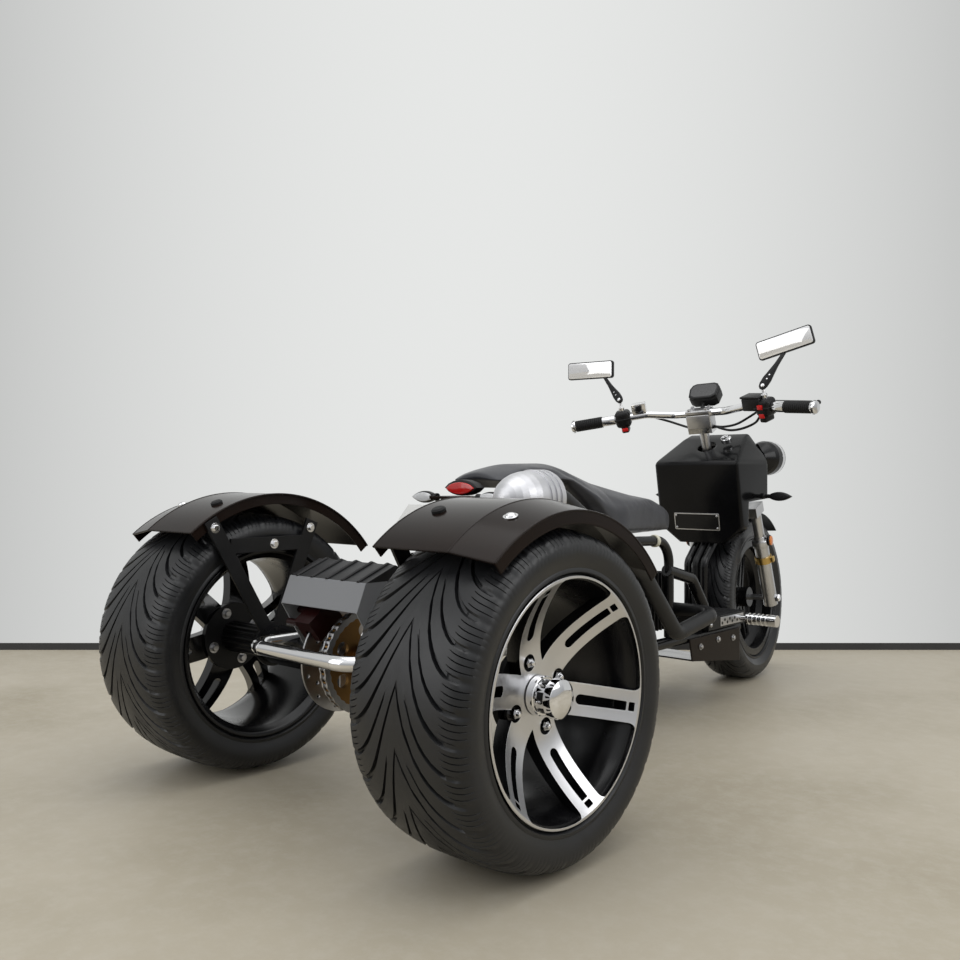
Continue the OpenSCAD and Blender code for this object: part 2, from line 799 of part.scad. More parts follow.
module seat_rails() color("black") for (side = [-1, 1]) on_side(side) {
    tube([at(rail_x, post_at, rail_z + tube_r), at(rail_x, post_at, seat_rail_z),
        at(rail_x, seat_rail_rise_at, seat_rail_z + seat_rail_rise),
        at(seat_rail_in, seat_rail_tail_at, seat_rail_tail_z),
        at(seat_rail_in, seat_rail_end, seat_rail_tail_z)],
        seat_rail_r, tube_bend);
    tube([at(rail_x, post_at - arch_back, arch_z), at(rail_x, wheelbase - arch_top_back, arch_top_z),
        at(rail_x, wheelbase - arch_end_back, arch_end_z),
        at(rail_x, wheelbase - arch_end_back, engine_floor + board_h + board_rib_h + seat_gap)],
        arch_r, 2 * arch_r);
}

module cross_tube() color("dimgray") difference() {
    back = -cross_tube_back;
    z = axle_z + cross_tube_up;
    tube([at(-arm_x, 0, z), at(-arm_x, back, z), at(arm_x, back, z), at(arm_x, 0, z)],
        cross_tube_r, cross_tube_bend);
    on_rear_axle() cylinder(r = housing_r + seat_gap, h = 2 * housing_out, center = true);
    translate(at(-housing_out, housing_r, axle_z)) cube([2 * housing_out, housing_r, housing_r]);
}

module engine() color("darkslategray") {
    front = case_at + case_l;
    mid_z = engine_floor + case_h / 2;
    translate([-case_w / 2, rear_y - front, engine_floor]) cube([case_w, case_l, case_h]);
    translate([0, rear_y - front, mid_z]) rotate([90, 0, 0]) cylinder(r = barrel_r, h = barrel_l + head_l);
    for (i = [0:fin_count - 1])
        translate([-fin_w / 2, rear_y - front - barrel_l * (i + 1) / fin_count, mid_z - fin_w / 2])
            cube([fin_w, fin_t, fin_w]);
    translate([-head_w / 2, rear_y - front - barrel_l - head_l, mid_z - head_w / 2])
        cube([head_w, head_l, head_w]);
    translate(at(gear_x, engine_shaft, axle_z + chain_drop_z)) rotate([0, 90, 0])
        cylinder(r = gear_r, h = gear_w);
    translate([-case_w / 2 - fan_t, rear_y - (case_at + case_l / 2), mid_z + tube_r])
        rotate([0, 90, 0]) cylinder(r = fan_r, h = fan_t);
    translate(at(-chain_x - sprocket_t, engine_shaft, axle_z + chain_drop_z)) rotate([0, 90, 0])
        cylinder(r = output_r, h = chain_x + gear_x + sprocket_t);
    in_chain_plane(sprocket_t) translate([sprocket_gap, 0]) circle(engine_pitch_r - roller_r - tooth_root);
}

module muffler() color("silver") {
    x = -muffler_x;
    rib_w = muffler_rib_w;
    dome = [for (i = [0:muffler_steps]) let (a = 90 * i / muffler_steps)
        [muffler_r * sin(a), muffler_dome * (1 - cos(a))]];
    ribs = [for (i = [0:muffler_ribs - 1], k = [0:3])
        let (up = k == 1 || k == 2 ? rib_w / 3 : 0, past = k > 1 ? 1 : 0)
        [muffler_r + up, muffler_dome + rib_w * (2 * i + 1 + past)]];
    can_l = muffler_dome + rib_w * (2 * muffler_ribs + 1);
    start = muffler_rear + can_l + muffler_taper;
    along(at(x, muffler_rear, muffler_z), at(x, start, muffler_z)) rotate_extrude()
        polygon(concat(dome, ribs, [[muffler_r, can_l], [muffler_pipe_r + over, can_l + muffler_taper],
            [0, can_l + muffler_taper]]));
    head_at = case_at + case_l + barrel_l + head_l / 2;
    port_z = engine_floor + case_h / 2 - head_w / 4;
    tube([at(x, start - over, muffler_z), at(x, start + 2 * muffler_pipe_r, muffler_z),
        at(x, wheelbase - pipe_knee_back, pipe_knee_z), at(x, wheelbase - pipe_low_back, pipe_low_z),
        at(x, head_at, port_z), at(-head_w / 2 - seat_gap, head_at, port_z)],
        muffler_pipe_r, 2 * muffler_pipe_r);
}

module rear_shield() color("dimgray") {
    half = shield_w / 2;
    rear = side_point(-shield_rear, shield_low);
    knee = side_point(-shield_knee, shield_fold);
    crest = side_point(0, shield_top);
    front = side_point(shield_front, shield_fold);
    leg_z = axle_z + axle_r + run_gap;
    for (x = [-half, half - shield_t]) side_plate(x, shield_t)
        polygon([rear, knee, crest, front, side_point(housing_r, leg_z), side_point(-housing_r, leg_z)]);
    side_plate(-half, shield_w) polygon([rear, knee, crest, front, front - [0, shield_t],
        crest - [0, shield_t], knee - [shield_t, shield_t], rear - [shield_t, 0]]);
}

module fender(side) color("saddlebrown") on_side(side) {
    top = fender_r + fender_crown;
    fold = (fender_in + 2 * fender_out) / 3;
    translate(at(0, fender_ahead, axle_z - fender_drop)) rotate([0, 90, 0])
        rotate([0, 0, 90 + fender_rear_angle])
            rotate_extrude(angle = 180 - fender_rear_angle - fender_front_angle) polygon([
                [fender_r - fender_lip, fender_out], [fender_r, fender_out], [top, fold], [top, fender_in],
                [top - fender_lip, fender_in], [top - fender_lip, fender_in + fender_t],
                [top - fender_t, fender_in + fender_t], [top - fender_t, fold - fender_t],
                [fender_r - fender_t, fender_out - fender_t], [fender_r - fender_lip, fender_out - fender_t]
            ]);
}
module fender_left() fender(1);
module fender_right() fender(-1);

// A flat bar between two points of a side outline
module flat_bar(a, b, w) {
    d = unit(b - a);
    n = [-d.y, d.x] * w / 2;
    polygon([a - n, a + n, b + n, b - n]);
}

module fender_stay(side) color("black") on_side(side) difference() {
    x = fender_in - stay_t;
    union() {
        for (leg = stay_legs)
            side_plate(x, stay_t) flat_bar(side_point(0, axle_z), side_point(leg.x, leg.y), stay_w);
        side_plate(x, stay_t) flat_bar(side_point(-stay_bar_rear, stay_bar_z),
            side_point(stay_bar_front, stay_bar_z), stay_w);
        on_rear_axle(x) cylinder(r = housing_r + stay_t, h = stay_t);
    }
    on_rear_axle() cylinder(r = axle_r + run_gap, h = 2 * shaft_end, center = true);
}
module fender_stay_left() fender_stay(1);
module fender_stay_right() fender_stay(-1);

// Seat: the side outline, cut to the seat's outline in plan
module seat() color("black") intersection() {
    low = seat_rail_z + seat_rail_rise + seat_rail_r + seat_gap;
    side_plate(-seat_w / 2, seat_w) polygon([for (p = seat_side_shares)
        side_point(seat_tail + (seat_nose - seat_tail) * p.x, low + (seat_top - low) * p.y)]);
    linear_extrude(2 * seat_top) polygon([
        for (side = [1, -1], p = side > 0 ? seat_plan_shares : reversed(seat_plan_shares))
            [side * seat_w / 2 * p.y, rear_y - seat_tail - (seat_nose - seat_tail) * p.x]]);
}
function reversed(list) = [for (i = [len(list) - 1:-1:0]) list[i]];

module tail_tray() color("saddlebrown")
    translate(at(-tray_w / 2, seat_rail_end + tray_l / 2, tray_z)) cube([tray_w, tray_l, tray_t]);

module tail_lamp() color("darkred")
    translate(at(0, seat_rail_end, tray_z + tray_t + lamp_h / 2)) rotate([90, 0, 0])
        linear_extrude(lamp_l, center = true) {
            square([lamp_w - lamp_h, lamp_h], center = true);
            for (side = [-1, 1]) translate([side * (lamp_w - lamp_h) / 2, 0]) circle(lamp_h / 2);
        }

// A leaf-shaped turn lamp on a stem that points to the left
module turn_lamp(stem) {
    rotate([0, 90, 0]) cylinder(r = turn_stem_r, h = stem + turn_h / 2);
    translate([stem, turn_t / 2, 0]) rotate([90, 0, 0]) linear_extrude(turn_t) polygon([
        [0, -turn_h / 4], [turn_l / 4, -turn_h / 2], [turn_l * 3 / 4, -turn_h / 3], [turn_l, 0],
        [turn_l * 3 / 4, turn_h / 3], [turn_l / 4, turn_h / 2], [0, turn_h / 4]]);
}

module rear_turn(side) color("orange") on_side(side)
    translate(at(tray_w / 2, seat_rail_end - turn_t, tray_z + tray_t / 2)) turn_lamp(turn_h / 2);
module rear_turn_left() rear_turn(1);
module rear_turn_right() rear_turn(-1);

module plate_holder() color("gray") {
    translate(at(0, sign_top_at, sign_top_z)) rotate([sign_lean, 0, 0])
        translate([-sign_w / 2, 0, -sign_h]) cube([sign_w, sign_t, sign_h]);
    side_plate(-lamp_h, 2 * lamp_h) polygon([
        side_point(sign_top_at, sign_top_z), side_point(seat_rail_end - tray_l / 3, tray_z - seat_gap),
        side_point(seat_rail_end, tray_z - seat_gap), side_point(seat_rail_end, tray_z - sign_t),
        side_point(seat_rail_end - tray_l / 3, tray_z - sign_t),
        side_point(sign_top_at, sign_top_z - 2 * sign_t)]);
}

// How far the inside of the cover's rear wall is ahead of the rear axle at a height
function cover_inside(z) = cover_at + cover_wall + cover_waist_in
    * (cover_shoulder_z - cover_wall - z) / (cover_shoulder_z - cover_wall - cover_waist_z);

// The cover's outline from the side and from behind, each shrunk by a wall for its hollow
module cover_form(wall, front) intersection() {
    floor_z = cover_bottom - front;
    nose = cover_at + cover_l + front;
    half = cover_w / 2 - wall;
    low = cover_low_w / 2 - wall;
    high = cover_high_w / 2 - wall;
    side_plate(-cover_w / 2, cover_w) polygon([
        side_point(cover_at + wall, cover_shoulder_z - wall),
        side_point(cover_at + cover_waist_in + wall, cover_waist_z),
        side_point(cover_at + cover_toe_in + wall, floor_z),
        side_point(cover_at + cover_toe_out + front, floor_z),
        side_point(cover_at + cover_lip_in + front, cover_lip_z - front),
        side_point(nose, cover_lip_z + cover_lip_rise - front),
        side_point(nose, cover_top - cover_nose_drop),
        side_point(cover_at + cover_peak_in + front, cover_top - wall),
        side_point(cover_at + cover_brow_in, cover_top - cover_brow_drop - wall)
    ]);
    translate([0, rear_y, 0]) rotate([90, 0, 0]) linear_extrude(2 * cover_at) polygon([
        [-low, floor_z], [low, floor_z], [half, cover_waist_z], [half, cover_shoulder_z],
        [high, cover_top], [-high, cover_top], [-half, cover_shoulder_z], [-half, cover_waist_z]
    ]);
}

module front_cover() color("black") difference() {
    cover_form(0, 0);
    cover_form(cover_wall, over);
    on_head() translate([0, 0, head_low - over]) cylinder(r = head_r + seat_gap, h = bar_up);
}

module footboard(side) color("silver") on_side(side) {
    wide = board_out - board_in;
    long = board_front - board_rear;
    difference() {
        translate(at(board_in, board_front, engine_floor)) cube([wide, long, board_h]);
        translate(at(board_in + board_wall, board_front - board_wall, engine_floor - over))
            cube([wide - 2 * board_wall, long - 2 * board_wall, board_h - board_wall + over]);
    }
    for (i = [1:board_ribs])
        translate(at(board_in + wide * i / (board_ribs + 1), board_front - 2 * board_wall,
            engine_floor + board_h - over))
            cube([board_wall, long - 4 * board_wall, board_rib_h + over]);
}
module footboard_left() footboard(1);
module footboard_right() footboard(-1);

module peg(side) color("silver") on_side(side)
    translate(at(board_out, board_front - 2 * peg_r, engine_floor + board_h / 2)) rotate([0, 90, 0]) {
        rib_step = (peg_l - peg_band) / peg_ribs;
        cylinder(r = peg_rod_r, h = peg_gap + peg_l);
        translate([0, 0, peg_gap]) cylinder(r = peg_r - board_rib_h, h = peg_l);
        for (i = [0:peg_ribs - 1]) translate([0, 0, peg_gap + rib_step * i])
            cylinder(r = peg_r, h = rib_step / 2);
        translate([0, 0, peg_gap + peg_l - peg_band]) cylinder(r = peg_r, h = peg_band);
    }
module peg_left() peg(1);
module peg_right() peg(-1);

module belly_plate() color("saddlebrown") {
    out = rail_x + tube_r;
    side_form = [side_point(belly_rear, rail_z), side_point(belly_front, rail_z),
        side_point(belly_front, belly_front_z), side_point(belly_rear + belly_slant, belly_rear_z)];
    for (x = [-out - belly_t, out]) side_plate(x, belly_t) polygon(side_form);
    side_plate(-out - belly_t, 2 * (out + belly_t)) polygon([side_point(belly_front, belly_front_z),
        side_point(belly_rear + belly_slant, belly_rear_z),
        side_point(belly_rear + belly_slant, belly_rear_z + belly_t),
        side_point(belly_front, belly_front_z + belly_t)]);
}

module conduits() color("black") {
    behind_head = (head_r + neck_r + bend_swell) / cos(rake) + seat_gap;
    tube([at(0, neck_at - tube_r, rail_z + tube_r + seat_gap), at(0, neck_at - tube_r, neck_knee_z),
        at(0, neck_bend_at, neck_bend_z), head_point(0, head_low + neck_join) + [0, behind_head, 0]],
        neck_r, tube_bend / 2);
}

module headlights() color("black") {
    for (x = [-headlight_x, headlight_x]) translate(at(x, headlight_at, headlight_z)) rotate([90, 0, 0])
        rotate_extrude() polygon([for (p = headlight_shares) [headlight_r * p.x, headlight_l * p.y]]);
    bar_at = headlight_at - headlight_l / 3;
    rod(at(-headlight_x, bar_at, headlight_z), at(headlight_x, bar_at, headlight_z), lamp_bar_r);
    difference() {
        rod(at(0, bar_at, headlight_z), at(0, cover_at, headlight_z), lamp_bar_r);
        on_head() cylinder(r = head_r + seat_gap, h = bar_up);
        translate(at(-headlight_x, cover_at + 2 * head_r, 0))
            cube([2 * headlight_x, cover_w, 2 * headlight_z]);
    }
}

module front_turn(side) color("orange") on_side(side)
    translate(at(cover_w / 2, front_turn_at, front_turn_z)) turn_lamp(turn_h);
module front_turn_left() front_turn(1);
module front_turn_right() front_turn(-1);

module caliper() color("red") difference() {
    on_rear_axle(disc_x) rotate([0, 0, 90 + caliper_turn]) {
        translate([disc_r - caliper_h / 2, -caliper_l / 2, -caliper_w / 2])
            cube([caliper_h, caliper_l, caliper_w]);
        for (side = [-1, 1]) translate([disc_r, side * caliper_l / 4, 0])
            cylinder(r = caliper_pin_r, h = housing_in - shield_t - 2 * seat_gap - disc_x);
    }
    on_rear_axle(disc_x) cylinder(r = disc_r + run_gap, h = disc_t + 2 * run_gap, center = true);
}

// Steering
module fork() color("silver") on_steering() {
    for (side = [-1, 1]) translate([side * leg_x, -fork_offset, 0]) {
        translate([0, 0, -slider_r]) cylinder(r = slider_r, h = slider_top + slider_r);
        translate([0, 0, slider_top - over]) cylinder(r = boot_r, h = boot_h + over);
        cylinder(r = stanchion_r, h = crown_up + crown_t);
    }
    translate([0, -fork_offset / 2, crown_up + crown_t / 2])
        cube([2 * leg_x + 2 * slider_r, crown_l, crown_t], center = true);
    translate([0, 0, crown_up]) cylinder(r = stem_r, h = bar_up - crown_up - bar_r);
    translate([0, -fork_offset, 0]) rotate([0, 90, 0])
        cylinder(r = front_axle_r, h = 2 * leg_x, center = true);
}

function bar_half(side) = [
    [side * bar_straight, bar_y, bar_up], [side * bar_knee, bar_y + bar_back / 3, bar_up + bar_rise],
    [side * bar_w / 2, bar_y + bar_back, bar_up + bar_rise]
];
// A point on the handlebar's outer run, measured in from its end
function bar_point(side, in) = let (p = bar_half(side)) p[2] + unit(p[1] - p[2]) * in;

module handlebar() color("silver") on_steering() difference() {
    union() {
        left = bar_half(1);
        right = bar_half(-1);
        tube([right[2], right[1], right[0], left[0], left[1], left[2]], bar_r, bar_bend);
        riser(0);
    }
    cylinder(r = stem_r + fit, h = bar_up - bar_r);
}

// The clamp block on the stem, grown by a gap where other pieces seat on it
module riser(gap) translate([0, bar_y, bar_up - riser_h / 2])
    cube([riser_w + 2 * gap, riser_t + 2 * gap, riser_h + 2 * bar_r + 2 * gap], center = true);

module grips() color("black") on_steering() for (side = [-1, 1]) difference() {
    union() {
        rod(bar_point(side, 0), bar_point(side, grip_l), grip_r);
        rod(bar_point(side, -bar_end_l), bar_point(side, over), bar_end_r);
    }
    rod(bar_point(side, 0), bar_point(side, grip_l + over), bar_r + fit);
}

module controls() color("black") on_steering() for (side = [-1, 1]) difference() {
    union() {
        rod(bar_point(side, grip_l + fit), bar_point(side, grip_l + control_w), control_r);
        rod(bar_point(side, grip_l + control_w / 2) - [0, 2 * control_r, 0],
            bar_point(side, grip_l + control_w / 2), control_r / 2);
        rod(bar_point(side, grip_l + control_w / 2) - [0, 2 * control_r, 0],
            bar_point(side, grip_l + control_w / 2 - lever_l) - [0, 2 * control_r, 0], lever_w / 2);
    }
    rod(bar_point(side, 0), bar_point(side, bar_w / 3), bar_r + fit);
}

module bar_mirror(side, moved_in, moved_up, roll) color("black") on_steering() {
    base = bar_point(side, grip_l + control_w / 2);
    head = [side * (mirror_x - moved_in), mirror_y, mirror_up + moved_up];
    difference() {
        rod(base, head, mirror_stem_r);
        rod(bar_point(side, grip_l), bar_point(side, grip_l + control_w), control_r + seat_gap);
    }
    translate(head) rotate([rake, 0, 0]) rotate([0, roll, 0])
        cube([mirror_w, mirror_t, mirror_h], center = true);
}
module mirror_left() bar_mirror(1, 0, 0, mirror_left_roll);
module mirror_right() bar_mirror(-1, mirror_right_in, mirror_right_up, mirror_right_roll);

module gauge() color("black") on_steering() difference() {
    union() {
        translate([0, gauge_y, gauge_up]) rotate([rake - gauge_lean, 0, 0])
            linear_extrude(gauge_h, center = true)
                polygon([for (p = gauge_outline_shares) [p.x * gauge_w / 2, p.y * gauge_l / 2]]);
        rod([0, bar_y, bar_up - bar_r], [0, gauge_y, gauge_up], mirror_stem_r);
    }
    riser(seat_gap);
}

module front_mudguard() color("black") {
    on_front_axle() rotate([0, 0, guard_from]) rotate_extrude(angle = guard_to - guard_from)
        translate([guard_r, -guard_w / 2]) square([guard_t, guard_w]);
    on_steering() for (side = [-1, 1]) difference() {
        rod([side * (guard_w / 2 - guard_t), -fork_offset, guard_r + guard_t / 2],
            [side * leg_x, -fork_offset, guard_r + guard_t / 2], guard_stay_r);
        translate([side * leg_x, -fork_offset, 0]) cylinder(r = stanchion_r + seat_gap, h = crown_up);
    }
}

module front_tyre() color("black") on_front_axle()
    tyre(front_tyre_r, front_tyre_w, front_rim_r, front_rim_w / 2 - rim_wall - seat_gap);

module front_rim() color("silver") on_front_axle() difference() {
    union() {
        rim_barrel(front_rim_r, front_rim_w);
        cylinder(r = front_hub_r, h = front_hub_w, center = true);
        for (i = [0:spoke_count - 1]) rotate([0, 0, 360 * i / spoke_count])
            dished_spoke(front_spoke_t / 2, front_spoke_t / 2, front_spoke_t, front_hub_r,
                drop_inner_r(front_rim_r) + rim_wall / 2, front_spoke_w, front_spoke_w, front_bar);
        translate([0, 0, front_disc_x - disc_t]) cylinder(r = front_disc_r, h = disc_t);
        cylinder(r = front_hub_r, h = front_disc_x);
    }
    cylinder(r = front_axle_r + fit, h = front_rim_w * 2, center = true);
}

frame();
rear_arms();
seat_rails();
cross_tube();
engine();
muffler();
rear_shield();
fender_left();
fender_right();
fender_stay_left();
fender_stay_right();
seat();
tail_tray();
tail_lamp();
rear_turn_left();
rear_turn_right();
plate_holder();
front_cover();
footboard_left();
footboard_right();
peg_left();
peg_right();
belly_plate();
conduits();
headlights();
front_turn_left();
front_turn_right();
chain();
caliper();
axle_shaft();
sprocket();
brake_disc();
hub_left();
hub_right();
rear_rim_left();
rear_rim_right();
rear_tyre_left();
rear_tyre_right();
hub_cap_left();
hub_cap_right();
fork();
handlebar();
grips();
controls();
mirror_left();
mirror_right();
gauge();
front_mudguard();
front_tyre();
front_rim();
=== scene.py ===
"""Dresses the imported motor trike: finishes, wheels, tyres, seat, lamps, mirrors, cables and fasteners."""

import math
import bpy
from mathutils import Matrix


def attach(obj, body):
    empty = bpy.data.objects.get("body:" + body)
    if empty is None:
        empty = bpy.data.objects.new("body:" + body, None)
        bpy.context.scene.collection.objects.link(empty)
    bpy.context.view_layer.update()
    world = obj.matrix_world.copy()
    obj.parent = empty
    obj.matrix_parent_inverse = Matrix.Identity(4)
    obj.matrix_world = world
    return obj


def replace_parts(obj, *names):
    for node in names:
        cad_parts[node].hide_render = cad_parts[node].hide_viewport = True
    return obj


bl_info = {
    "name": "Motor trike dressing",
    "version": (1, 0, 0),
    "blender": (4, 5, 0),
    "location": "View3D > Sidebar > Trike",
    "description": "Finishes and fine pieces for the motor trike",
    "category": "Object",
}

import bmesh
import bpy
from mathutils import Matrix, Vector

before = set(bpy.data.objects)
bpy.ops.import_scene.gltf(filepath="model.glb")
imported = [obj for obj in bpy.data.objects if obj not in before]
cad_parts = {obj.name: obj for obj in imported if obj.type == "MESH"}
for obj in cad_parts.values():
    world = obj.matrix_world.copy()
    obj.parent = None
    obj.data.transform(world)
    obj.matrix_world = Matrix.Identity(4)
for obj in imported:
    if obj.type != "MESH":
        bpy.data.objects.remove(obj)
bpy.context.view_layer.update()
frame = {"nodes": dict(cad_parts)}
NODES = frame["nodes"]

# The part's frame, in metres: the rear axle, and the steering axis with its turn at rest
REAR_Y = 0.764
AXLE_Z = 0.270
WHEEL_X = 0.395
RAKE = math.radians(20)
STEER = (
    Matrix.Translation((0, -0.756111, 0.233029))
    @ Matrix.Rotation(-RAKE, 4, "X")
    @ Matrix.Rotation(math.radians(7), 4, "Z")
)
STEER_UP = (STEER.to_3x3() @ Vector((0, 0, 1))).normalized()
FORK_OFFSET = 0.035
SIDES = ((1, "left"), (-1, "right"))
CAN_START = 0.4135  # Where the muffler's pipe meets its can, along Y
SHIELD_FOLD = 0.4285  # Where the rear shield's panels change colour, above the ground


def at(x, ahead, z):
    """A point in metres from millimetres to the left, ahead of the rear axle and above the ground."""
    return Vector((x / 1000, REAR_Y - ahead / 1000, z / 1000))


def steer_point(x, y, z):
    """A point in metres from millimetres in the frame of the steering axis."""
    return STEER @ Vector((x / 1000, y / 1000, z / 1000))


def aim(point, direction):
    """A matrix whose Z axis runs from a point in a direction."""
    return Matrix.Translation(point) @ Vector(direction).to_track_quat("Z", "Y").to_matrix().to_4x4()


def shift(x, y, z):
    """A matrix that moves by a distance along each axis."""
    return Matrix.Translation((x, y, z))


def axes(x, y, z):
    """A matrix that turns the axes to three given directions."""
    return Matrix((x, y, z)).transposed().to_4x4()


# Sizes and colours


class TrikeSizes(bpy.types.PropertyGroup):
    """Sizes that a user would change."""

    tread_pitches: bpy.props.IntProperty(
        name="Tread pitches", description="Repeats of the tread round a tyre", default=18, min=10, max=60
    )
    tread_depth: bpy.props.FloatProperty(
        name="Tread depth", description="Depth of the tread's grooves", default=0.007, unit="LENGTH"
    )
    bead_radius: bpy.props.FloatProperty(
        name="Fender bead", description="Radius of the bead on a fender's folds", default=0.0022, unit="LENGTH"
    )
    cable_radius: bpy.props.FloatProperty(
        name="Cable radius", description="Radius of a control cable", default=0.0035, unit="LENGTH"
    )
    seat_swell: bpy.props.FloatProperty(
        name="Seat swell", description="How far the seat's cover may swell", default=0.010, unit="LENGTH"
    )


def colour(name, description, value):
    """A colour property with its name, description and default."""
    return bpy.props.FloatVectorProperty(
        name=name, description=description, default=value, size=3, min=0, max=1, subtype="COLOR"
    )


class TrikeColours(bpy.types.PropertyGroup):
    """Colours that a user would change."""

    fender: colour("Fender paint", "Deep brown gloss of the fenders and the belly plate", (0.010, 0.006, 0.0045))
    frame: colour("Frame paint", "Gloss black of the frame and the cover", (0.0035, 0.0035, 0.004))
    rubber: colour("Rubber", "Tyres and grips", (0.0075, 0.008, 0.009))
    vinyl: colour("Seat vinyl", "Cover of the seat", (0.030, 0.031, 0.037))
    machined: colour("Machined face", "Turned faces of the wheels", (0.72, 0.72, 0.73))
    lens: colour("Tail lens", "Red lens of the tail lamp", (0.55, 0.010, 0.008))
    bronze: colour("Sprocket", "Bronze anodised sprocket", (0.30, 0.17, 0.06))
    wall: colour("Backdrop", "Pale wall behind the trike", (0.79, 0.80, 0.79))
    floor: colour("Floor", "Pale warm concrete floor", (0.43, 0.385, 0.30))


def sizes():
    """The sizes that a user would change."""
    return bpy.context.scene.trike_sizes


def colours():
    """The colours that a user would change."""
    return bpy.context.scene.trike_colours


# Shader groups and finishes


def feed(tree, made, inputs):
    """Sets a node's inputs, by name or number, to values or links them to other nodes' outputs."""
    for key, value in inputs.items():
        socket = made.inputs[key]
        if isinstance(value, bpy.types.NodeSocket):
            tree.links.new(value, socket)
        else:
            socket.default_value = (*value, 1)[:4] if socket.type == "RGBA" else value


def node(tree, kind, inputs=None, **values):
    """Adds a shader node, sets its properties and feeds its inputs."""
    made = tree.nodes.new(kind)
    for key, value in values.items():
        setattr(made, key, value)
    feed(tree, made, inputs or {})
    return made


def mix_colours(tree, factor, first, second):
    """Mixes two colours by a factor socket and returns the result."""
    return node(tree, "ShaderNodeMix", {0: factor, 6: first, 7: second}, data_type="RGBA").outputs[2]


def beyond(tree, axis, limit):
    """A mask that is 1 where a place is past a limit along an axis of the part."""
    place = node(tree, "ShaderNodeTexCoord").outputs["Object"]
    parts = node(tree, "ShaderNodeSeparateXYZ", {0: place})
    return node(tree, "ShaderNodeMath", {0: parts.outputs[axis], 1: limit}, operation="GREATER_THAN").outputs[0]


def new_group(name, inputs, outputs):
    """A shader node group with named sockets, and its input and output nodes."""
    group = bpy.data.node_groups.new(name, "ShaderNodeTree")
    for socket, kind, value in inputs:
        made = group.interface.new_socket(name=socket, in_out="INPUT", socket_type=kind)
        made.default_value = value
    for socket, kind in outputs:
        group.interface.new_socket(name=socket, in_out="OUTPUT", socket_type=kind)
    return group, node(group, "NodeGroupInput"), node(group, "NodeGroupOutput")


def surface_group():
    """Wandering colour, roughness and fine height that every finish uses with its own values."""
    if "surface_variation" in bpy.data.node_groups:
        return bpy.data.node_groups["surface_variation"]
    group, given, out = new_group(
        "surface_variation",
        [
            ("Colour", "NodeSocketColor", (0.5, 0.5, 0.5, 1)),
            ("Worn", "NodeSocketColor", (0.6, 0.6, 0.6, 1)),
            ("Wear", "NodeSocketFloat", 0.3),
            ("Scale", "NodeSocketFloat", 14.0),
            ("Grain", "NodeSocketFloat", 900.0),
            ("Rough", "NodeSocketFloat", 0.3),
            ("Spread", "NodeSocketFloat", 0.1),
        ],
        [("Colour", "NodeSocketColor"), ("Roughness", "NodeSocketFloat"), ("Height", "NodeSocketFloat")],
    )
    place = node(group, "ShaderNodeTexCoord").outputs["Object"]
    asked = given.outputs
    patches = node(group, "ShaderNodeTexNoise", {"Vector": place, "Scale": asked["Scale"], "Detail": 5})
    span = node(group, "ShaderNodeMapRange", {"Value": patches.outputs["Fac"], "From Min": 0.42, "From Max": 0.72})
    patch = span.outputs["Result"]
    amount = node(group, "ShaderNodeMath", {0: patch, 1: asked["Wear"]}, operation="MULTIPLY")
    mixed = mix_colours(group, amount.outputs[0], asked["Colour"], asked["Worn"])
    grain = node(group, "ShaderNodeTexNoise", {"Vector": place, "Scale": asked["Grain"], "Detail": 2})
    rough = node(group, "ShaderNodeMath", {0: patch, 1: asked["Spread"], 2: asked["Rough"]}, operation="MULTIPLY_ADD")
    feed(group, out, {"Colour": mixed, "Roughness": rough.outputs[0], "Height": grain.outputs["Fac"]})
    return group


def facing_group():
    """A mask that is 1 where a surface faces along an axis of the piece."""
    if "facing_mask" in bpy.data.node_groups:
        return bpy.data.node_groups["facing_mask"]
    group, given, out = new_group(
        "facing_mask",
        [
            ("Axis", "NodeSocketVector", (1, 0, 0)),
            ("From", "NodeSocketFloat", 0.25),
            ("To", "NodeSocketFloat", 0.35),
        ],
        [("Mask", "NodeSocketFloat")],
    )
    normal = node(group, "ShaderNodeTexCoord").outputs["Normal"]
    dot = node(group, "ShaderNodeVectorMath", {0: normal, 1: given.outputs["Axis"]}, operation="DOT_PRODUCT")
    limits = {"From Min": given.outputs["From"], "From Max": given.outputs["To"]}
    span = node(group, "ShaderNodeMapRange", {"Value": dot.outputs["Value"], **limits})
    feed(group, out, {"Mask": span.outputs["Result"]})
    return group


def finish(name, base, worn, rough, metal=0.0, coat=0.0, wear=0.4, scale=14, grain=900, spread=0.1, bump=0.05,
           edge=0.0, **sockets):
    """A finish with wandering colour and roughness, fine grain and, where asked, softly rounded edges."""
    if name in bpy.data.materials:
        return bpy.data.materials[name]
    made = bpy.data.materials.new(name)
    made.use_nodes = True
    tree = made.node_tree
    given = {"Colour": base, "Worn": worn, "Wear": wear, "Scale": scale, "Grain": grain, "Rough": rough,
             "Spread": spread}
    surface = node(tree, "ShaderNodeGroup", given, node_tree=surface_group(), name="surface").outputs
    height = {"Strength": bump, "Distance": 0.001, "Height": surface["Height"]}
    relief = node(tree, "ShaderNodeBump", height, name="relief")
    if edge:
        rounded = node(tree, "ShaderNodeBevel", {"Radius": edge}, samples=4)
        feed(tree, relief, {"Normal": rounded.outputs["Normal"]})
    dress(made, {
        "Base Color": surface["Colour"],
        "Roughness": surface["Roughness"],
        "Normal": relief.outputs["Normal"],
        "Metallic": metal,
        "Coat Weight": coat,
        "Coat Roughness": 0.04,
        **{key.replace("_", " "): value for key, value in sockets.items()},
    })
    return made


def dress(material, inputs):
    """Feeds the shader of a finish."""
    feed(material.node_tree, material.node_tree.nodes["Principled BSDF"], inputs)


def own_colour(material):
    """The wandering colour of a finish."""
    return material.node_tree.nodes["surface"].outputs["Colour"]


